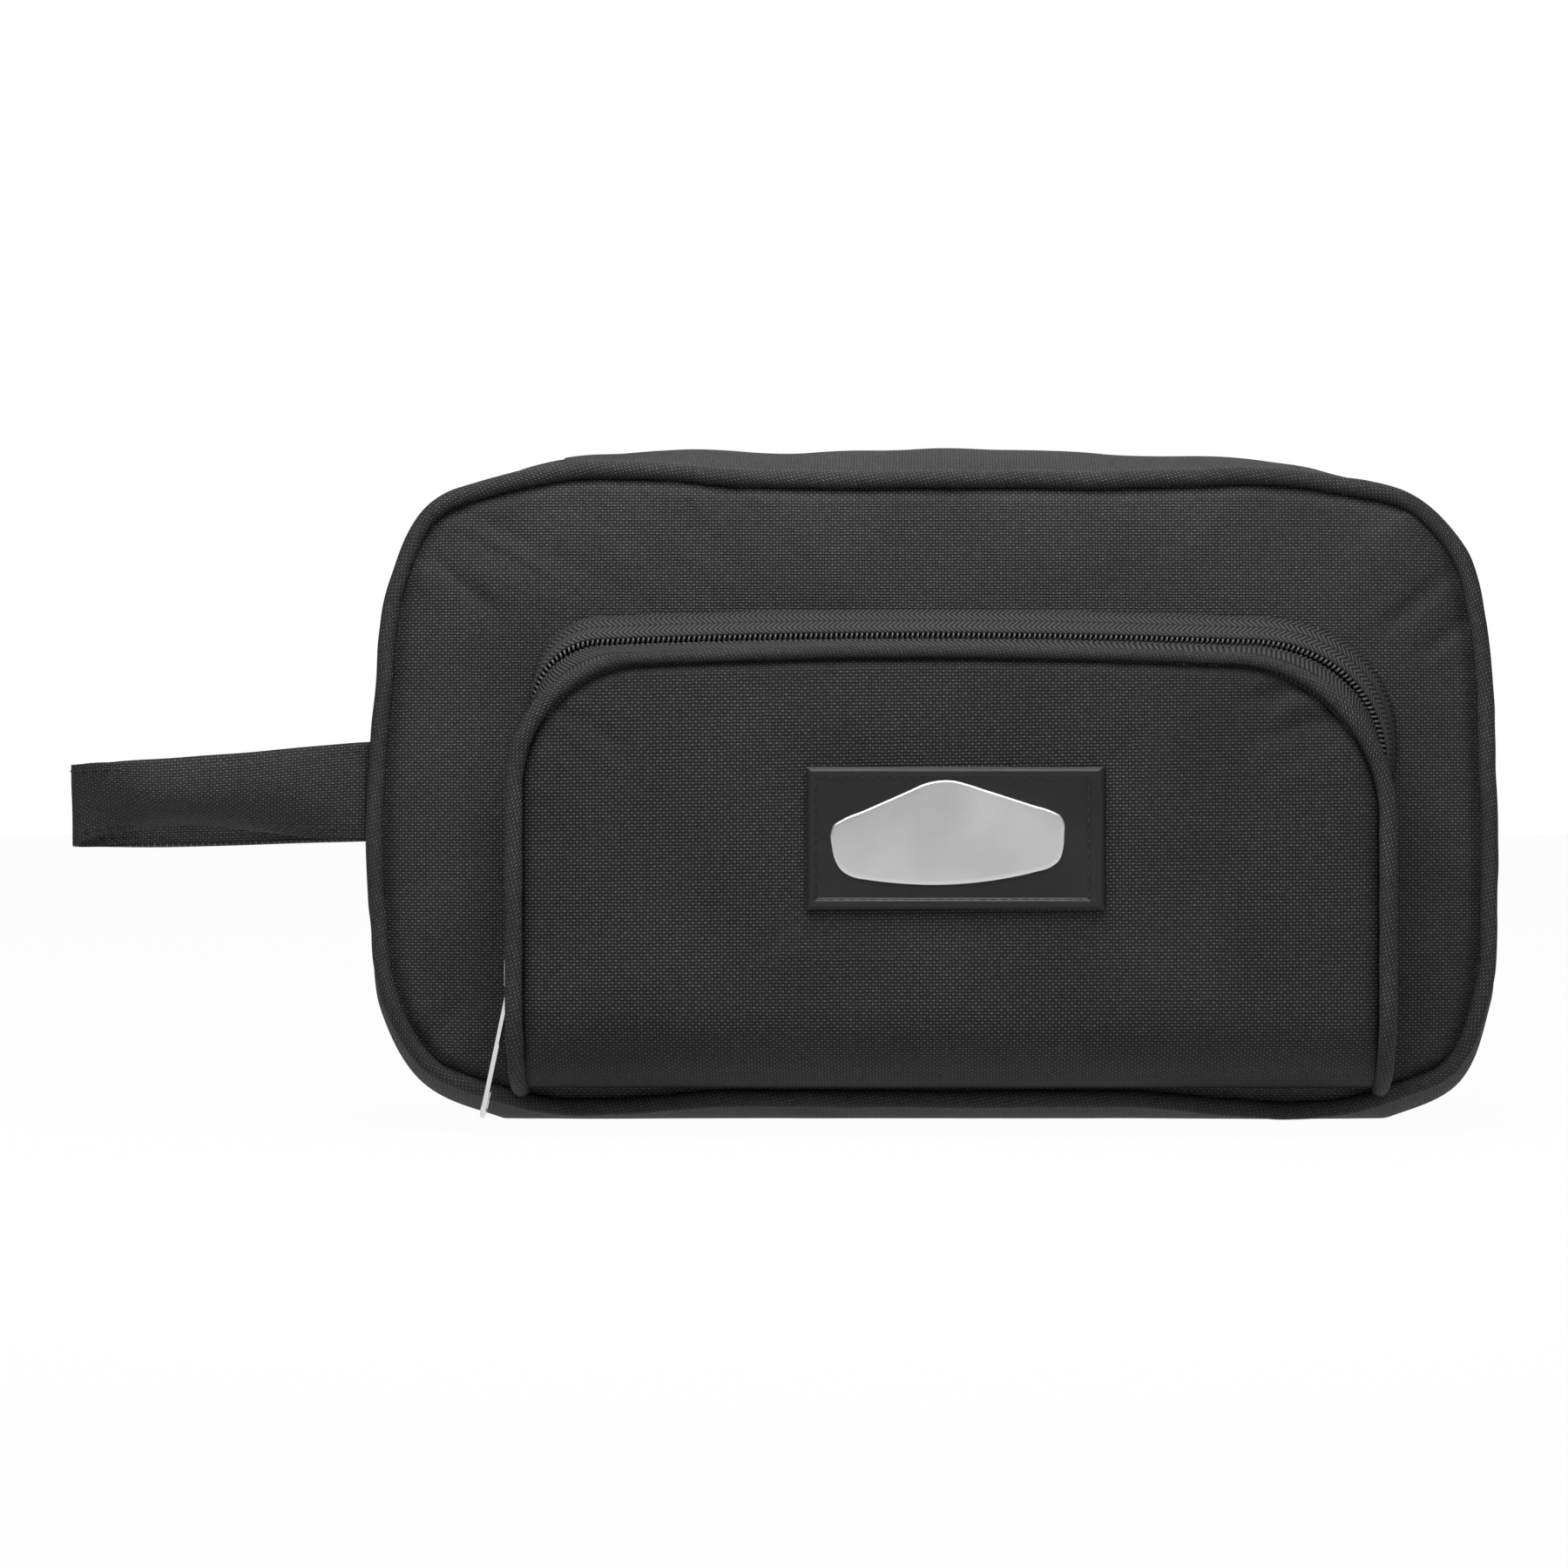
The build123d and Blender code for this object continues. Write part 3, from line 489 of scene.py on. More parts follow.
def metal(name, tone, rough, size, stretch, bump):
    """Metal with fine marks from rolling or polishing."""
    material, tree, shader = new_material(name)
    out = place(tree, grain, place_position(tree), Size=size * MM, Stretch=stretch)
    two_tones(tree, shader, out["Height"], [0.9 * c for c in tone], tone, out["Blotch"], 0.05)
    shader.inputs["Metallic"].default_value = 1.0
    tree.links.new(spread(tree, out["Blotch"], 0.3, 0.7, *rough), shader.inputs["Roughness"])
    raise_bump(tree, shader, out["Height"], bump, 0.5)
    return material


satin_plate = metal("satin plate", (0.74, 0.74, 0.75), (0.34, 0.44), 0.12, 8.0, 0.006)
polished_tab = metal("polished tab", (0.74, 0.74, 0.75), (0.10, 0.22), 0.4, 3.0, 0.004)
plated_slider = metal("plated slider", (0.55, 0.55, 0.56), (0.18, 0.30), 0.3, 1.0, 0.006)
print("materials:", len(bpy.data.materials))

# %% [markdown]
# ## The seam line round the front
# The front panel is a soft rounded rectangle. Its sides bow out a little where the bag is full, and the
# four corners are not quite alike. A smooth curve through a few points gives one line that the piping,
# both panels and the gusset all share, so they meet as sewn pieces do.

# %% Seam line
seam_points = [
    (-96, 151.3), (-30, 151.8), (40, 151.8), (90, 151.2), (112, 145.4), (122.5, 134), (127.6, 114),
    (129.4, 85), (129.8, 55), (128, 31), (120.6, 14.2), (105, 6.8), (40, 5.9), (-40, 6.1), (-99, 7.0),
    (-116.5, 14.8), (-125.6, 30), (-128.6, 50), (-129.3, 68), (-127.4, 100), (-124.2, 126), (-115.6, 143.6),
][::-1]
seam_count = 640
seam_line = smooth_path(seam_points, seam_count, closed=True)


def inward_of(loop):
    """Unit vectors that point into a closed loop."""
    ahead = np.roll(loop, -1, 0) - np.roll(loop, 1, 0)
    ahead /= np.linalg.norm(ahead, axis=1)[:, None]
    return np.column_stack([-ahead[:, 1], ahead[:, 0]])


seam_inward = inward_of(seam_line)
seam_run = run_along(seam_line, closed=True)
turn_rate = np.linalg.norm(np.roll(seam_inward, -6, 0) - np.roll(seam_inward, 6, 0), axis=1)
cornerness = np.clip(turn_rate / turn_rate.max(), 0, 1)
print("seam line", round(seam_run[-1]), "mm round")

# %% [markdown]
# ## Panels
# The front and back are flat cuts pulled into a cushion by the filling. The seam gathers them slightly,
# so short folds run in from the edge, deepest at the corners. A cloth simulation could blow them up.
# Formulas were chosen because the edge stays exactly on the seam and each run gives the same shape: the
# folds are noise along the seam that fades with the distance from it.

# %% Build a crowned panel
panel_level = 51.6
panel_inset = 2.6


def seam_folds(run, distance, corner, seed):
    """Height of the folds that a gathered seam sends into the cloth."""
    fine = soft_noise((run + 0.12 * distance) / 4.6, distance / 40, seed) * np.exp(-distance / 8)
    broad = soft_noise((run + 0.3 * distance) / 11.0, distance / 60, seed + 7.3) * np.exp(-distance / 22)
    return fine * mix(0.35, 0.9, corner) + broad * mix(0.35, 1.9, corner)


def crease(spot, start, end, width, depth):
    """Dent along a short line, softest at its ends."""
    line = np.subtract(end, start)
    share = ((spot - start) @ line) / (line @ line)
    off = np.linalg.norm(spot - (np.array(start) + np.clip(share, 0, 1)[..., None] * line), axis=-1)
    return depth * np.exp(-((off / width) ** 2)) * ease(-0.3, 0.3, share) * ease(1.3, 0.6, share)


def build_panel(name, hand, seed):
    """Crowned panel on the front, hand -1, or on the back, hand 1."""
    start = seam_line + panel_inset * seam_inward
    centre = np.array([0.0, 78.0])
    share = np.linspace(0, 1, 58)[None, :] ** 1.35
    spot = mix(start[:, None], centre, share[..., None])
    depth = ((centre - start) * seam_inward).sum(1)[:, None] * share
    past_cord = np.clip(depth - 1.4, 0, None)
    crown = 2.2 * ease(0, 3.2, past_cord) - 2.2 + 4.0 * (1 - np.exp(-past_cord / 15))
    folds = seam_folds(seam_run[:-1, None], depth, cornerness[:, None], seed) * ease(0, 2.5, depth)
    waves = 0.9 * soft_noise(spot[..., 0] / 48, spot[..., 1] / 40, seed + 3.1) * ease(4, 40, depth)
    pulls = crease(spot, (104, 116), (120, 130), 2.2, 1.2) + crease(spot, (112, 109.5), (125, 120), 1.8, 0.9)
    pulls += crease(spot, (-98, 118), (-114, 132), 2.4, 0.9) + crease(spot, (-108, 30), (-119, 18), 2.2, 0.8)
    level = hand * (panel_level + crown + folds + waves - pulls)
    points = np.stack([spot[..., 0], level, spot[..., 1]], -1)
    cloth = np.concatenate([spot, spot[:1]])
    piece = tidy(cloth_mesh(name, points, cloth, around=True), (0, hand, 0))
    thicken(piece, 1.0)
    piece.data.materials.append(body_cloth)
    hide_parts(name.replace("_cloth", ""))
    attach(piece, "shell")
    return piece


front_panel = build_panel("front_panel_cloth", -1, 1.7)
back_panel = build_panel("back_panel_cloth", 1, 5.2)
print("panel faces:", len(front_panel.data.polygons))

# %% [markdown]
# ## Piping
# Piping is a cord folded into a strip of cloth that was cut on the bias, so that it bends round corners.
# Its weave therefore runs at a slant to the edge. A curve with a round bevel would give an even tube.
# Points are placed here one ring at a time, so that the piping is a little uneven, as hand-fed piping is.

# %% Tubes along a path


def frames_along(path, up, closed=False):
    """For each point: direction of travel, and the up vector squared to it, and the third one."""
    if closed:
        ahead = np.roll(path, -1, 0) - np.roll(path, 1, 0)
    else:
        ahead = np.gradient(path, axis=0)
    ahead /= np.linalg.norm(ahead, axis=1)[:, None]
    side = np.cross(ahead, np.broadcast_to(up, path.shape))
    side /= np.linalg.norm(side, axis=1)[:, None]
    return ahead, side, np.cross(side, ahead)


def tube_along(name, path, radius, up, sides=12, closed=False, flat=1.0):
    """Round tube along a path, with cloth coordinates along and around it."""
    ahead, side, over = frames_along(path, up, closed)
    turn = np.linspace(0, 2 * pi, sides, endpoint=False)
    radius = np.broadcast_to(radius, len(path))[:, None, None]
    ring = side[:, None] * np.cos(turn)[None, :, None] + flat * over[:, None] * np.sin(turn)[None, :, None]
    points = path[:, None] + radius * ring
    around = np.linspace(0, 2 * pi * float(radius.mean()), sides + 1)
    piece = cloth_mesh(name, points, cloth_of(run_along(path, closed), around), closed, True)
    if not closed:
        cap_ends(piece, sides)
    return tidy(piece)


def cap_ends(piece, sides):
    """Close both ends of an open tube."""
    with open_mesh(piece) as shape:
        bmesh.ops.holes_fill(shape, edges=shape.edges, sides=sides)


def at_depth(loop, y):
    """Points of a front outline at a depth."""
    return np.column_stack([loop[:, 0], np.broadcast_to(y, len(loop)), loop[:, 1]])


# %% Front and back piping
for side, hand, seed in (("front", -1, 2.4), ("back", 1, 8.1)):
    middle = seam_line + (2.0 + 0.22 * soft_noise(seam_run[:-1] / 9, seed))[:, None] * seam_inward
    level = hand * (50.0 + 0.25 * soft_noise(seam_run[:-1] / 14, seed + 2))
    thick = 2.0 * (1 + 0.05 * soft_noise(seam_run[:-1] / 5, seed + 4))
    piece = tube_along(side + "_piping", at_depth(middle, level), thick, (0, 1, 0), 14, True)
    piece.data.materials.append(piping_cloth)
    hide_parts(side + "_piping_cover", side + "_piping_cord")
    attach(piece, "shell")
    binding = seam_line + 9.0 * seam_inward
    across = np.array([-2.2, -1.6, 1.6, 2.2])
    points = np.stack(
        [at_depth(binding + a * seam_inward, hand * (49.4 - 0.9 * (abs(a) < 2))) for a in across], 1
    )
    piece = cloth_mesh(side + "_binding", points, cloth_of(seam_run, across), True)
    thicken(tidy(piece, (0, -hand, 0)), 0.8, 0)
    piece.data.materials.append(binding_cloth)
    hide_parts(side + "_seam_binding")
    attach(piece, "shell")

# %% [markdown]
# ## Stitches
# A lockstitch seam shows as a row of short threads that rise out of one needle hole and dive into the
# next. Each stitch is a small bent spindle whose ends sink into the cloth.

# %% Row of stitches along a path


def stitch_row(name, path, out, length=2.1, gap=0.6, thick=0.2):
    """Stitches along a path; out points away from the cloth."""
    run = run_along(path)
    count = int(run[-1] // (length + gap))
    share = np.linspace(0, 1, 6)
    at = (np.arange(count) * run[-1] / count)[:, None] + length * share
    spot, up = (np.stack([np.interp(at, run, line[:, k]) for k in range(3)], -1) for line in (path, out))
    up /= np.linalg.norm(up, axis=-1)[..., None]
    ahead = np.gradient(spot, axis=1)
    ahead /= np.linalg.norm(ahead, axis=-1)[..., None]
    side = np.cross(ahead, up)
    bulge = np.sin(pi * share) ** 0.5
    turn = np.linspace(0, 2 * pi, 6, endpoint=False)[:, None]
    ring = side[:, :, None] * np.cos(turn) + up[:, :, None] * np.sin(turn)
    middle = spot + up * (thick * (1.5 * bulge - 1.1))[:, None]
    points = middle[:, :, None] + ring * (thick * (0.35 + 0.65 * bulge))[:, None, None]
    index = np.arange(count * 36).reshape(count, 6, 6)
    turned = np.roll(index, -1, 2)
    sides = np.stack([index[:, :-1], turned[:, :-1], turned[:, 1:], index[:, 1:]], -1).reshape(-1, 4)
    ends = index[:, 0, ::-1].tolist() + index[:, -1].tolist()
    mesh = bpy.data.meshes.new(name)
    mesh.from_pydata((points.reshape(-1, 3) * MM).tolist(), [], sides.tolist() + ends)
    piece = tidy(new_object(name, mesh))
    mesh.polygons.foreach_set("use_smooth", np.ones(len(mesh.polygons), bool))
    mesh.materials.append(thread_material)
    return piece


# %% [markdown]
# ## Gusset
# One long strip runs round the bag between the two panels. It swells past the piping on the top and the
# sides and lies flat underneath, where the bag stands on it. The mouth is cut out of its top, and a slot
# at each end of the mouth lets the zip run on down the shoulder.

# %% Swollen strip
seam_depth = 49.6
mouth_depth = 45.6
slot_half = 7.5


def swell_at(share):
    """Share of the bulge at a share of the way from a seam to the middle."""
    return 1 - (1 - share) ** 2.5


gusset_start = seam_line + 4.15 * seam_inward
outward = -seam_inward
top_rise = 8.4 - 11.0 * (seam_line[:, 0] / 134) ** 2
reach = (
    np.abs(outward[:, 0]) * 4.0
    + np.clip(outward[:, 1], 0, 1) * np.clip(top_rise, 2, 9)
    + np.clip(-outward[:, 1], 0, 1) * 6.0
)
gusset_swollen = seam_line + outward * reach[:, None]
gusset_swollen[:, 1] = np.clip(gusset_swollen[:, 1], 0.4, None)


def gusset_loop(v):
    """Outline of the gusset at a share v of the depth, from -1 at the front to 1 at the back."""
    return mix(gusset_start, gusset_swollen, swell_at(1 - abs(v)))


mouth_share, slot_share = mouth_depth / seam_depth, slot_half / seam_depth
half = np.r_[np.linspace(slot_share, mouth_share, 14), np.linspace(mouth_share, 1, 3)]
across = np.unique(np.round(np.r_[-half, np.linspace(-slot_share, slot_share, 5), half], 6))
loops = np.stack([gusset_loop(v) for v in across], 1)
ripple = seam_folds(
    seam_run[:-1, None], seam_depth * (1 - np.abs(across))[None, :], cornerness[:, None], 4.4
)
loops = loops + outward[:, None] * (0.55 * ripple * ease(0, 0.12, 1 - np.abs(across))[None, :])[..., None]
loops[:, [0, -1]] = (seam_line + 2.2 * seam_inward)[:, None]
loops[..., 1] = np.clip(loops[..., 1], 0.05, None)
depths = seam_depth * across
depths[[0, -1]] = -50.0, 50.0

on_top = seam_line[:, 1] > 120
mouth_x = 86.0
slot_x = 119.0
track_radius, track_top = 420.0, 157.1
tape_thick = 0.6
cloth_over_tape = 1.15


def track_at(x):
    """Height of the underside of the zip's tape."""
    return track_top - track_radius + np.sqrt(track_radius**2 - np.asarray(x, float) ** 2)


def dip_to_zip(x, y, height):
    """Height of the top where the cloth dips to the zip's tape, as at the lips."""
    share = ease(21, 8, np.abs(y)) * ease(125, 118, np.abs(x))
    return mix(height, track_at(np.clip(x, -slot_x, slot_x)) + tape_thick + cloth_over_tape, share)


upper = on_top[:, None] & (np.abs(loops[..., 0]) > mouth_x - 3)
loops[..., 1] = np.where(upper, dip_to_zip(loops[..., 0], depths[None, :], loops[..., 1]), loops[..., 1])
points = np.stack([loops[..., 0], np.broadcast_to(depths, loops.shape[:2]), loops[..., 1]], -1)
left_mouth, right_mouth = (
    np.where(on_top)[0][np.abs(seam_line[on_top, 0] - x).argmin()] for x in (-mouth_x, mouth_x)
)
print("mouth from", seam_line[left_mouth], "to", seam_line[right_mouth])

# %% Cut the mouth and the slots
upper_half = 125
points[left_mouth, :, 0] = -mouth_x
points[right_mouth, :, 0] = mouth_x
piece = cloth_mesh("gusset_cloth", points, cloth_of(seam_run, depths), True)
with open_mesh(piece) as shape:
    cut = []
    for face in shape.faces:
        x, y, z = np.abs(face.calc_center_median() / MM)
        in_mouth = x < mouth_x and y < mouth_depth
        in_slot = x < slot_x and y < slot_half
        if z > upper_half and (in_mouth or in_slot):
            cut.append(face)
    bmesh.ops.delete(shape, geom=cut, context="FACES")
tidy(piece, (0, 0, -1))
thicken(piece, 1.0)
piece.data.materials.append(body_cloth)
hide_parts("gusset")
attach(piece, "shell")

# %% [markdown]
# ## Lips and the zip on top
# A cloth lip runs along each side of the zip. It leaves the gusset near the seam, rises over the filling
# and dips to the zip's tape. Each lip turns on its own hinge, which carries its row of stitches.

# %% Height of the bag's top
top_part = np.where(seam_line[:, 1] > 128)[0]
top_part = top_part[np.argsort(seam_line[top_part, 0])]


def top_height(x, y):
    """Height of the swollen top at a place, before it dips to the zip."""
    loop = gusset_loop(y / seam_depth)[top_part]
    return np.interp(x, loop[:, 0], loop[:, 1])


# %% Lips
lip_x = np.linspace(-mouth_x + 0.15, mouth_x - 0.15, 130)
lip_y = np.r_[mouth_depth - 0.1, np.linspace(44.8, 8.2, 26), 7.6, 7.35, 7.3]
stitched_at = 10.6
for side, hand, seed in (("front", -1, 3.3), ("rear", 1, 9.7)):
    rows = []
    for y in lip_y:
        edge_z = track_at(lip_x) + tape_thick + cloth_over_tape
        height = mix(top_height(lip_x, y), edge_z, ease(21, 8, y))
        height += 0.6 * soft_noise(lip_x / 16, y / 30, seed) * ease(7, 14, y) * ease(46, 40, y)
        height -= 0.9 * ease(7.9, 7.3, y)
        rows.append(np.column_stack([lip_x, np.full(len(lip_x), hand * y), height]))
    points = np.stack(rows, 1)
    run = run_along(np.column_stack([lip_y, points[len(lip_x) // 2, :, 2]]))
    piece = tidy(cloth_mesh(side + "_lip_cloth", points, cloth_of(lip_x, run)), (0, 0, 1))
    thicken(piece, 1.0)
    piece.data.materials.append(body_cloth)
    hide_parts(side + "_lip")
    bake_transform(piece)
    seam = points[:, np.abs(lip_y - stitched_at).argmin()]
    piece = stitch_row(side + "_lip_stitches", seam, np.tile([0, 0, 1.0], (len(seam), 1)))
    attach(piece, side + "_lip")

# %% [markdown]
# ## Zip tapes and coils
# The zip's teeth are one nylon wire wound into a flat spiral and sewn to each tape, so each row is
# really a long spring. Two such springs, half a turn apart, hook into each other. One helper winds the
# spiral along any path.

# %% Wind a coil along a path


def coil_along(name, path, out, pitch=1.15, wide=1.25, high=0.55, wire=0.3, phase=0.0, per_turn=8, sides=5):
    """Flat spiral of wire along a path; out points away from the tape."""
    length = run_along(path)[-1]
    turns = int(length / pitch)
    count = turns * per_turn + 1
    middle = even_steps(np.hstack([path, out]), count)
    middle, up = middle[:, :3], middle[:, 3:]
    ahead, side, over = frames_along(middle, up)
    angle = 2 * pi * np.arange(count) / per_turn + phase
    wire_path = middle + side * (wide * np.cos(angle))[:, None] + over * (high * np.sin(angle))[:, None]
    piece = tube_along(name, wire_path, wire, ahead, sides)
    piece.data.materials.append(coil_nylon)
    return piece


def ribbon(name, rows, thickness, material, outward):
    """Tape through rows of points, each row one long edge or line of the tape."""
    points = np.stack(rows, 1)
    along = run_along(points[:, 0])
    across = run_along(points[len(points) // 2])
    piece = tidy(cloth_mesh(name, points, cloth_of(along, across)), outward)
    thicken(piece, thickness)
    piece.data.materials.append(material)
    return piece


# %% Main zip
def track_line(x, y, above):
    """Points along the track at a depth and a height above the tape's underside."""
    return np.column_stack([x, np.full(len(x), y), track_at(x) + above])


def up_on_track(x):
    """Unit vectors square to the track."""
    lean = x / track_radius
    return np.column_stack([lean, 0 * x, np.sqrt(1 - lean**2)])


coil_mid, coil_rise = 1.2, 0.85
for side, hand in (("front", -1), ("rear", 1)):
    x = np.linspace(-mouth_x + 0.4, mouth_x - 0.4, 120)
    rows = [track_line(x, hand * y, 0.55) for y in (0.9, 4.5, 9.0, 13.4)]
    tape = ribbon(side + "_zip_tape", rows, 0.5, tape_cloth, (0, 0, 1))
    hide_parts(side + "_lip_tape")
    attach(tape, side + "_lip")
    coil = coil_along(
        side + "_zip_coil", track_line(x, hand * coil_mid, tape_thick + coil_rise), up_on_track(x),
        phase=0 if hand < 0 else pi,
    )
    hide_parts(side + "_lip_coil")
    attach(coil, side + "_lip")

for side, hand in (("left", -1), ("right", 1)):
    x = np.linspace(hand * (mouth_x + 0.1), hand * slot_x, 40)
    x.sort()
    for half, sign in (("front", -1), ("rear", 1)):
        rows = [track_line(x, sign * y, 0.55) for y in (0.9, 3.2, 5.4, 7.4)]
        tape = ribbon(f"{side}_end_tape_{half}", rows, 0.5, tape_cloth, (0, 0, 1))
        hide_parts(side + "_zip_end_chain")
        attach(tape, "shell")
    x = x[(abs(x) < 117)]
    for row, y, turn in (("front", -coil_mid, 0), ("rear", coil_mid, pi)):
        coil = coil_along(
            side + "_end_coil_" + row, track_line(x, y, tape_thick + coil_rise), up_on_track(x), phase=turn
        )
        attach(coil, "shell")
    loop = [(hand * (mouth_x + 0.1), -slot_half), (hand * slot_x, -slot_half), (hand * slot_x, slot_half)]
    loop.append((hand * (mouth_x + 0.1), slot_half))
    rim = np.vstack([
        np.column_stack([np.linspace(a[0], b[0], 14), np.linspace(a[1], b[1], 14)])
        for a, b in zip(loop[:-1], loop[1:])
    ])
    lid = np.array([dip_to_zip(px, py, top_height(px, py)) for px, py in rim])
    rows = [np.column_stack([rim, mix(track_at(rim[:, 0]) + 0.6, lid + 0.2, share)]) for share in (0, 0.5, 1)]
    welt = ribbon(side + "_zip_welt", rows, 0.8, body_cloth, (-hand, 0, 0))
    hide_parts(side + "_zip_end_bed")
    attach(welt, "shell")
print("zip pieces made")

# %% [markdown]
# ## The pocket's shape
# The pocket is a shallow box on the front: a panel with piping round it, and a wall behind the piping
# that slants out to the bag. The zip runs along the middle of that wall. One function gives the arch of
# the wall at any depth behind the pocket's cloth, always with the same points along it, so that tapes,
# coil and facing are only rows at chosen depths.

# %% Arch of the pocket at any depth
pocket_left, pocket_right, pocket_top = -95.5, 104.5, 112.3
pocket_y = -70.0
turn_high = 31.0
turn_radius = 20.43
pocket_foot = 10.6
pocket_track = 7.2
foot_split = 46.0


def pocket_depth(z, behind):
    """Depth of a layer this far behind the pocket's cloth, turning in to the seam below."""
    radius = turn_radius - behind
    fall = np.clip(turn_high - z, 0, radius - 0.05)
    return pocket_y + turn_radius - np.sqrt(radius**2 - fall**2)


def arch_line(inset, behind=0.0, low=pocket_foot, lift=0.0):
    """Arch from the left foot over the top to the right foot, at a depth behind the cloth."""
    share = behind / 20.0
    knee = 60
    tight = min(1.0, behind / pocket_track)
    left, right = pocket_left + inset, pocket_right - inset
    high = pocket_top - inset * (1 - share) + 12.3 * share + lift
    turn_left = mix(30.0, 17.5, tight) - inset * 0.3 + lift
    turn_right = mix(37.0, 30.0, tight) - inset * 0.3 + lift
    shoulder = high - 1.5
    up = np.r_[
        np.linspace(low, knee, 40, endpoint=False), np.linspace(knee, shoulder - turn_left, 20, endpoint=False)
    ]
    left_leg = np.column_stack([np.full(len(up), left - lift), up])
    angle = np.linspace(pi, pi / 2, 40, endpoint=False)
    left_turn = np.column_stack([
        left - lift + turn_left + turn_left * np.cos(angle), shoulder - turn_left + turn_left * np.sin(angle)
    ])
    x = np.linspace(left - lift + turn_left, right + lift - turn_right, 100, endpoint=False)
    bow = 1 - ((x - x.mean()) / (x[-1] - x[0]) * 2) ** 2
    over = np.column_stack([x, shoulder + 1.5 * bow])
    angle = np.linspace(pi / 2, 0, 50, endpoint=False)
    right_turn = np.column_stack([
        right + lift - turn_right + turn_right * np.cos(angle), shoulder - turn_right + turn_right * np.sin(angle)
    ])
    down = np.r_[np.linspace(shoulder - turn_right, knee, 20, endpoint=False), np.linspace(knee, low, 41)]
    right_leg = np.column_stack([np.full(len(down), right + lift), down])
    line = np.vstack([left_leg, left_turn, over, right_turn, right_leg])
    lean = 9.0 * share * ease(66, 88, line[:, 1]) * (line[:, 0] > 60)
    line[:, 0] += lean * ease(60, 95, line[:, 0])
    return np.column_stack([line[:, 0], pocket_depth(line[:, 1], behind), line[:, 1]])


def wall_row(behind, out=0.0):
    """Row of the pocket's wall at a depth behind the cloth, raised by out from the wall."""
    here = arch_line(4.8, behind)
    if not out:
        return here
    return here + out * wall_out(behind)


def wall_out(behind):
    """Unit vectors that point away from the wall at a depth."""
    here, back = arch_line(4.8, behind), arch_line(4.8, behind + 1.0)
    ahead = np.gradient(here, axis=0)
    normal = np.cross(back - here, ahead)
    normal /= np.linalg.norm(normal, axis=1)[:, None]
    return normal


print("wall faces up at the top:", wall_out(pocket_track)[150])

# %% [markdown]
# ## Pocket panel
# The pocket's front is cut from the same cloth. It is pulled flat by the badge in the middle and gathered
# by the piping round its edge, and at the foot it turns in under itself to the bag's bottom seam.

# %% Distance from an edge


def from_edge(spots, edge):
    """Distance to an edge and how far along the edge the nearest place is."""
    run = run_along(edge)
    tangent = np.gradient(edge, axis=0)
    tangent /= np.linalg.norm(tangent, axis=1)[:, None]
    gap = np.linalg.norm(spots[..., None, :] - edge, axis=-1)
    near = gap.argmin(-1)
    slide = ((spots - edge[near]) * tangent[near]).sum(-1)
    across = spots - edge[near] - slide[..., None] * tangent[near]
    return np.linalg.norm(across, axis=-1), run[near] + slide


# %% Pocket panel
panel_edge = arch_line(3.7)[:, [0, 2]]
over_start, over_end = 100, 200
levels = np.linspace(0, 1, 110)
left_path = even_steps(panel_edge[:over_start], len(levels))
right_path = even_steps(panel_edge[over_end:][::-1], len(levels))
columns = np.linspace(0, 1, 170)
spot = mix(left_path[:, None], right_path[:, None], columns[None, :, None])
bow = (1 - (2 * columns - 1) ** 2)[None, :] * 1.5 * ease(0.8, 1, levels)[:, None]
spot[..., 1] += bow
distance, along = from_edge(spot, panel_edge)
corner = np.maximum(ease(60, 85, spot[..., 0]), ease(-60, -82, spot[..., 0])) * ease(70, 100, spot[..., 1])
folds = seam_folds(along, distance, corner, 6.6) * ease(0, 2.5, distance)
crown = 1.6 * ease(0, 2.8, distance) - 1.6 + 1.6 * (1 - np.exp(-distance / 18))
waves = 0.7 * soft_noise(spot[..., 0] / 34, spot[..., 1] / 30, 2.9) * ease(3, 25, distance)
fade = ease(11, 26, spot[..., 1])
beside = np.maximum(np.abs(spot[..., 0] - 5.5) - 33.5, np.abs(spot[..., 1] - 68.0) - 16.0)
fade = fade * mix(0.12, 1.0, ease(-0.5, 13, beside))
front = pocket_depth(spot[..., 1], 0.0) - 0.5 - (crown + folds + waves) * fade
front += crease(spot, (96, 98), (74, 90), 2.6, 1.3) + crease(spot, (90, 103), (70, 99), 2.2, 0.8)
front += crease(spot, (-84, 98), (-70, 88), 2.6, 0.7)
points = np.stack([spot[..., 0], front, spot[..., 1]], -1)
run_up = run_along(points[:, len(columns) // 2])
cloth = np.stack([spot[..., 0], np.broadcast_to(run_up[:, None], spot.shape[:2])], -1)
pocket_panel = tidy(cloth_mesh("pocket_panel_cloth", points, cloth), (0, -1, 0))
thicken(pocket_panel, 1.0)
pocket_panel.data.materials.append(pocket_cloth_painted_shade)
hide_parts("pocket_panel")
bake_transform(pocket_panel)

# %% Pocket piping
edge = arch_line(1.9, low=10.4)
run = run_along(edge)
flatter = ease(98, 109, edge[:, 2])
edge[:, 1] += 0.2 * soft_noise(run / 12, 4.2)
edge[:, 2] -= 0.5 * flatter
thick = mix(2.0, 1.3, flatter) * (1 + 0.05 * soft_noise(run / 5, 7.7))
pocket_piping = tube_along("pocket_piping", edge, thick, (0, 1, 0), 14)
pocket_piping.data.materials.append(piping_cloth)
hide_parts("pocket_piping_cover", "pocket_piping_cord")
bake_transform(pocket_piping)

# %% [markdown]
# ## Pocket zip
# Behind the piping come, from front to back, the smooth outer tape, the two rows of coil, the inner tape
# with its arrow weave, and a folded facing that is stitched down on the bag.

# %% Pocket tapes and coils
tape_low = 16.0


def above(rows, low):
    """Only the part of the rows above a height on both legs."""
    keep = np.min([row[:, 2] for row in rows], axis=0) >= low
    return [row[keep] for row in rows]


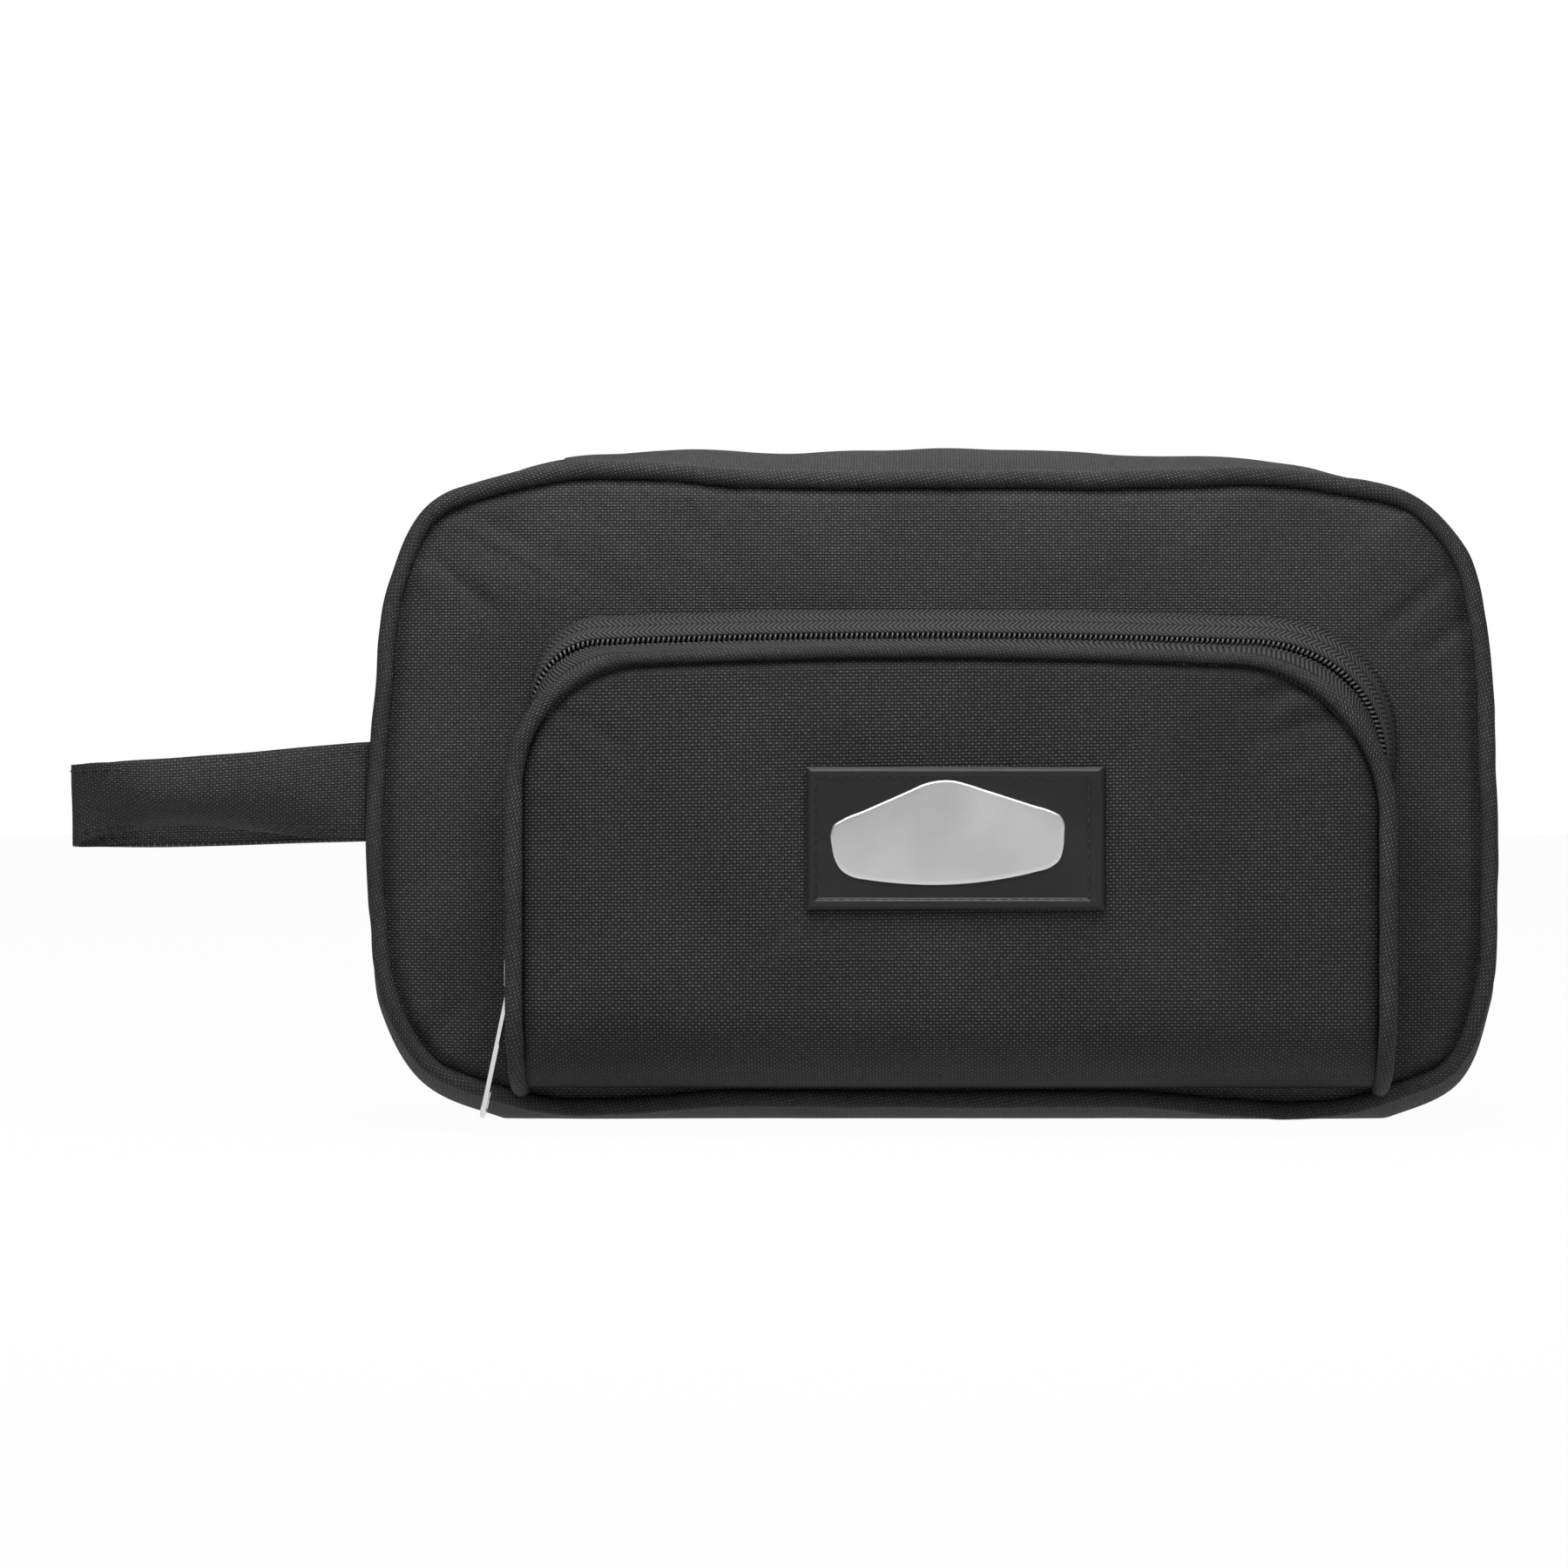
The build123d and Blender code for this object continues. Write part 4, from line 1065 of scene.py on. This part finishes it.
lead = above([wall_row(b) for b in (0.9, 2.6, 4.6, 6.3)], tape_low)
first_open = int(np.argmax(lead[0][:, 2] >= foot_split))
foot_rows = [row[:first_open] for row in lead]
outer_rows = [row[first_open:] for row in lead]
outer_tape = ribbon("pocket_outer_tape_cloth", outer_rows, 0.5, tape_cloth, (0, 0, 1))
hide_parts("pocket_outer_tape")
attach(outer_tape, "pocket_flap")
foot_tape = ribbon("pocket_foot_tape_cloth", foot_rows, 0.5, tape_cloth, (-1, 0, 0))
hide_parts("pocket_zip_foot_tape")
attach(foot_tape, "shell")

rows = above([wall_row(b) for b in (8.1, 10, 12, 14.5)], 20.0)
inner_tape = ribbon("pocket_inner_tape_cloth", rows, 0.5, tape_cloth, (0, 0, 1))
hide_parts("pocket_inner_tape")
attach(inner_tape, "shell")

coil_low, split_gap = 24.0, 0.4
for name, behind, body, phase, node in (
    ("pocket_outer_coil_wire", pocket_track - coil_mid, "pocket_flap", 0, "pocket_outer_coil"),
    ("pocket_inner_coil_wire", pocket_track + coil_mid, "shell", pi, "pocket_inner_coil"),
):
    path, out = wall_row(behind, coil_rise), wall_out(behind)
    keep = path[:, 2] > coil_low
    if body == "pocket_flap":
        keep &= (path[:, 2] > foot_split) | (path[:, 0] > 0)
    coil = coil_along(name, path[keep], out[keep], phase=phase)
    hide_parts(node)
    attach(coil, body)
path, out = wall_row(pocket_track - coil_mid, coil_rise), wall_out(pocket_track - coil_mid)
keep = (path[:, 2] > coil_low) & (path[:, 2] < foot_split - split_gap) & (path[:, 0] < 0)
coil = coil_along("pocket_foot_coil_wire", path[keep], out[keep])
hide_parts("pocket_zip_foot_coil")
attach(coil, "shell")

# %% Folded facing round the pocket
profile = [
    (12.4, 1.1), (11.2, 1.4), (10.9, 2.1), (11.3, 2.9), (12.3, 2.9), (13.2, 1.8), (13.9, 2.5), (14.9, 2.5),
    (16.0, 2.0), (17.4, 1.0), (18.2, -0.6),
]


def facing_row(behind, out):
    """Row of the facing, which comes nearer to the zip above the slider's run."""
    here = wall_row(behind, out)
    near = mix(wall_row(behind + 0.9, out), wall_row(behind - 1.3, out), ease(78, 92, here[:, 2:]))
    return mix(here, near, ease(18, 14, behind))


fold_rows, loose_at, loose_wide = 5, 82, 13
rows = [facing_row(b, out) for b, out in profile]
gape = np.exp(-(((np.arange(len(rows[0])) - loose_at) / loose_wide) ** 2))[:, None]
rows[:fold_rows] = [
    mix(row, rows[6], 0.7 * gape) + 0.8 * gape * wall_out(12.6) for row in rows[:fold_rows]
]
rows = above(rows, 19.0)
facing = ribbon("pocket_facing_cloth", rows, 0.6, body_cloth, (0, 0, 1))
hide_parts("pocket_facing")
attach(facing, "shell")
seam, lift = above([facing_row(13.2, 1.85), wall_out(13.2) + facing_row(13.2, 1.85)], 24.0)
facing_stitches = stitch_row("facing_stitches", seam, lift - seam)
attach(facing_stitches, "shell")
print("facing has", len(facing.data.polygons), "faces")

# %% [markdown]
# ## Badge
# The patch is a coated sheet whose edges are folded over and stitched, so its border stands a little
# higher than its middle. It is a height field: a flat middle, a raised border and a rounded rim.

# %% Patch
badge_low, badge_high = np.array([-28.0, 52.0]), np.array([39.0, 84.0])
rim_steps = np.array([0, 0.15, 0.45, 0.9, 1.4, 1.8, 2.1, 2.35, 2.6, 2.9, 3.3])
xs = np.r_[badge_low[0] + rim_steps, np.linspace(-24, 34, 60), badge_high[0] - rim_steps[::-1] * 1.5]
zs = np.r_[badge_low[1] + rim_steps, np.linspace(56, 80, 30), badge_high[1] - rim_steps[::-1]]
gx, gz = np.meshgrid(xs, zs, indexing="ij")
left_gap, right_gap = gx - badge_low[0], badge_high[0] - gx
foot_gap, head_gap = gz - badge_low[1], badge_high[1] - gz
narrow = [ease(2.6, 1.9, gap) for gap in (left_gap, foot_gap, head_gap)]
border = np.maximum.reduce([ease(4.0, 3.0, right_gap), *narrow])
rim =np.minimum.reduce([left_gap, right_gap, foot_gap, head_gap])
height = 1.2 + 0.7 * border - 0.9 * (1 - ease(0, 0.9, rim)) + 0.06 * soft_noise(gx / 6, gz / 6, 3.7)
points = np.stack([gx, -70.8 - height, gz], -1)
patch = cloth_mesh("badge_patch_sheet", points, np.stack([gx, gz], -1))
tidy(patch, (0, -1, 0))
thicken(patch, 1.0)
patch.data.materials.append(coated_sheet)
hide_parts("badge_patch", "badge_edging")
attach(patch, "pocket_flap")
corners = np.array([(-25.7, 54.3), (35.4, 54.3), (35.4, 81.7), (-25.7, 81.7), (-25.7, 54.3)])
seam = at_depth(even_steps(corners, 400), -72.25)
piece = stitch_row("badge_stitches", seam, np.tile([0, -1.0, 0], (len(seam), 1)), 1.9, 0.5, 0.16)
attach(piece, "pocket_flap")

# %% Plate with rounded corners and a bevelled rim
plate_points = [
    (1.6, 80.9), (5.2, 80.9), (8, 80.2), (13, 78.6), (18, 77), (23, 75.4), (27.4, 74), (29.2, 73), (30, 71.4),
    (30, 69), (29.7, 65.4), (28.8, 62.9), (26.9, 61.4), (23, 60.2), (17, 58.9), (9, 57.8), (0.4, 57.4),
    (-8, 57.8), (-14, 58.5), (-17.6, 59.2), (-20.1, 60.7), (-21.5, 63), (-22.3, 66.4), (-22.5, 69),
    (-21.9, 70.8), (-20.2, 72), (-15, 74.2), (-10, 76.4), (-5, 78.6), (-1.4, 80.2),
]
outline = smooth_path(plate_points, 240, closed=True)
inward = -inward_of(outline)
plate_low, plate_high = (corner[1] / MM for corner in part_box("badge_plate"))
rings = [at_depth(outline + inset * inward, plate_low + drop) for inset, drop in (
    (0, plate_high - plate_low), (0, 0.42), (0.1, 0.2), (0.28, 0.06), (0.55, 0.0), (1.2, -0.02),
)]
middle = np.array([3.8, plate_low - 0.06, 69.5])
rings += [mix(rings[5], middle, share) for share in (0.2, 0.4, 0.6, 0.8, 0.97)]
points = np.stack(rings, 1)
plate = cloth_mesh("plate_metal", points, cloth_of(run_along(outline, True), np.arange(len(rings))), True)
cap_ends(plate, 240)
tidy(plate)
plate.data.materials.append(satin_plate)
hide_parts("badge_plate")
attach(plate, "pocket_flap")
print("plate is", round(float(np.ptp(outline[:, 0])), 1), "mm wide")


# %% [markdown]
# ## Sliders and pull tabs
# These are rigid metal, and the solid model already has their true shape. A worn edge only needs a small
# bevel that catches the light, so each is a copy of its solid with that bevel.

# %% Metal parts with softened edges
def softened(name, node, width, material, body):
    """Copy of a rigid node with a small bevel that catches the light."""
    piece = tidy(new_object(name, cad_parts[node].data.copy()))
    bevel = piece.modifiers.new("bevel", "BEVEL")
    bevel.width = width * MM
    bevel.segments = 2
    bevel.limit_method = "ANGLE"
    bevel.angle_limit = radians(40)
    bevel.harden_normals = False
    keep_modifiers(piece)
    piece.data.materials.clear()
    piece.data.materials.append(material)
    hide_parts(node)
    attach(piece, body)
    return piece


for name, node, width, material, body, slot in (
    ("pocket_tab_metal", "pocket_pull_tab", 0.25, polished_tab, "pocket_pull_tab", "tab_metal"),
    ("main_tab_metal", "main_pull_tab", 0.25, polished_tab, "main_pull_tab", "tab_metal"),
    ("pocket_slider_metal", "pocket_slider", 0.15, plated_slider, "pocket_slider", "slider_metal"),
    ("main_slider_metal", "main_slider", 0.15, plated_slider, "main_slider", "slider_metal"),
):
    softened(name, node, width, material, body)

# %% [markdown]
# ## Wrist loop
# The loop is a folded strap caught in the side seam. Its two legs hang a little twisted, so the front
# leg shows less of its width in the middle. Its top and bottom edges are two smooth curves, and the
# strap bulges gently between them.

# %% Strap
top_points = [
    (-127.5, -47.6, 89.9), (-142, -50.5, 88.4), (-162, -52.4, 86.6), (-182, -51.6, 85.3), (-194.3, -49.6, 84.7),
    (-196.6, -46.6, 84.5), (-194, -43.6, 84.7), (-180, -41.4, 85.4), (-160, -41.0, 86.7), (-142, -42.6, 88.2),
    (-127.5, -44.8, 89.6),
]
foot_points = [
    (-127.5, -47.6, 67.0), (-142, -47.4, 68.2), (-158, -45.2, 70.2), (-176, -44.6, 71.0), (-189.5, -47.0, 68.4),
    (-196.4, -46.4, 65.8), (-192, -42.6, 65.6), (-178, -39.9, 65.8), (-160, -39.6, 66.2), (-142, -42.0, 66.8),
    (-127.5, -44.8, 67.0),
]
strap_top = smooth_path(top_points, 180)
strap_foot = smooth_path(foot_points, 180)
share = np.linspace(0, 1, 26)
spot = mix(strap_top[:, None], strap_foot[:, None], share[None, :, None])
ahead = np.gradient(spot, axis=0)
down = np.gradient(spot, axis=1)
out = np.cross(ahead, down)
out /= np.linalg.norm(out, axis=2)[..., None]
chord = np.linalg.norm(strap_top - strap_foot, axis=1)
spare = np.sqrt(np.clip(22.6**2 - chord**2, 0, None)) * 0.34
spare *= ease(-193, -176, strap_top[:, 0])
spot = spot + out * (spare[:, None] * (4 * share * (1 - share))[None, :])[..., None] * np.sign(out[5, 12, 1]) * -1
wave = 0.25 * soft_noise(run_along(strap_top)[:, None] / 11, share[None, :] * 1.6, 5.9)
spot = spot + out * wave[..., None]
strap = cloth_mesh("wrist_strap", spot, cloth_of(run_along(strap_top), 22.5 * share))
thicken(tidy(strap), 1.4, 0)
strap.data.materials.append(strap_cloth)
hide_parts("wrist_loop_root", "wrist_loop")
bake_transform(strap)
for label, column in (("upper", 2), ("lower", 22)):
    for face, hand in (("outer", 1), ("inner", -1)):
        seam = spot[4:-4, column] + hand * 0.72 * out[4:-4, column]
        piece = stitch_row(f"strap_stitches_{label}_{face}", seam, hand * out[4:-4, column])
        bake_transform(piece)
print("strap length", round(run_along(strap_top)[-1]), "mm")

# %% [markdown]
# ## Floor and light
# The floor is pale and keeps the object's shadow. What the camera sees of it, and what metal mirrors, is
# white; the light on the object stays plain, so black cloth renders as dark as it really is.

# %% White room
white_floor, tree, shader = new_material("pale floor")
shader.inputs["Base Color"].default_value = (0.62, 0.62, 0.62, 1)
shader.inputs["Roughness"].default_value = 0.9
rays = tree.nodes.new("ShaderNodeLightPath")
seen = math(tree, "MAXIMUM", rays.outputs["Is Camera Ray"], rays.outputs["Is Glossy Ray"])
seen = math(tree, "MAXIMUM", seen, rays.outputs["Is Transmission Ray"])
glow = tree.nodes.new("ShaderNodeEmission")
blend = tree.nodes.new("ShaderNodeMixShader")
tree.links.new(math(tree, "MULTIPLY", seen, 0.97), blend.inputs[0])
tree.links.new(shader.outputs[0], blend.inputs[1])
tree.links.new(glow.outputs[0], blend.inputs[2])
tree.links.new(blend.outputs[0], tree.nodes["Material Output"].inputs["Surface"])
floor_mesh = bpy.data.meshes.new("floor")
floor_mesh.from_pydata([(-6, -6, 0), (6, -6, 0), (6, 6, 0), (-6, 6, 0)], [], [(0, 1, 2, 3)])
floor_mesh.materials.append(white_floor)
floor = new_object("floor", floor_mesh)

world = bpy.data.worlds.new("room")
world.use_nodes = True
bpy.context.scene.world = world
tree = world.node_tree
rays = tree.nodes.new("ShaderNodeLightPath")
seen = math(tree, "MAXIMUM", rays.outputs["Is Camera Ray"], rays.outputs["Is Transmission Ray"])
plain = tree.nodes["Background"]
plain.inputs["Color"].default_value = (1, 1, 1, 1)
plug(tree, spread(tree, seen, 0, 1, 0.16, 1.0), plain.inputs["Strength"])


def soft_light(name, place, size, power):
    """Square soft light that looks at the bag."""
    data = bpy.data.lights.new(name, "AREA")
    data.size = size
    data.energy = power
    light = new_object(name, data)
    light.location = place
    aim = Vector((0, 0, 0.08)) - Vector(place)
    light.rotation_euler = aim.to_track_quat("-Z", "Y").to_euler()


soft_light("key", (-0.04, -0.29, 0.5), 0.4, 3.6)
soft_light("fill", (0.9, -1.3, 0.5), 1.2, 1.6)
soft_light("rim", (0.2, 1.0, 1.2), 1.0, 6)

# %% [markdown]
# ## Finish
# The view stays plain, so colours come out as written.

# %% Plain view
bpy.context.scene.view_settings.view_transform = "Standard"
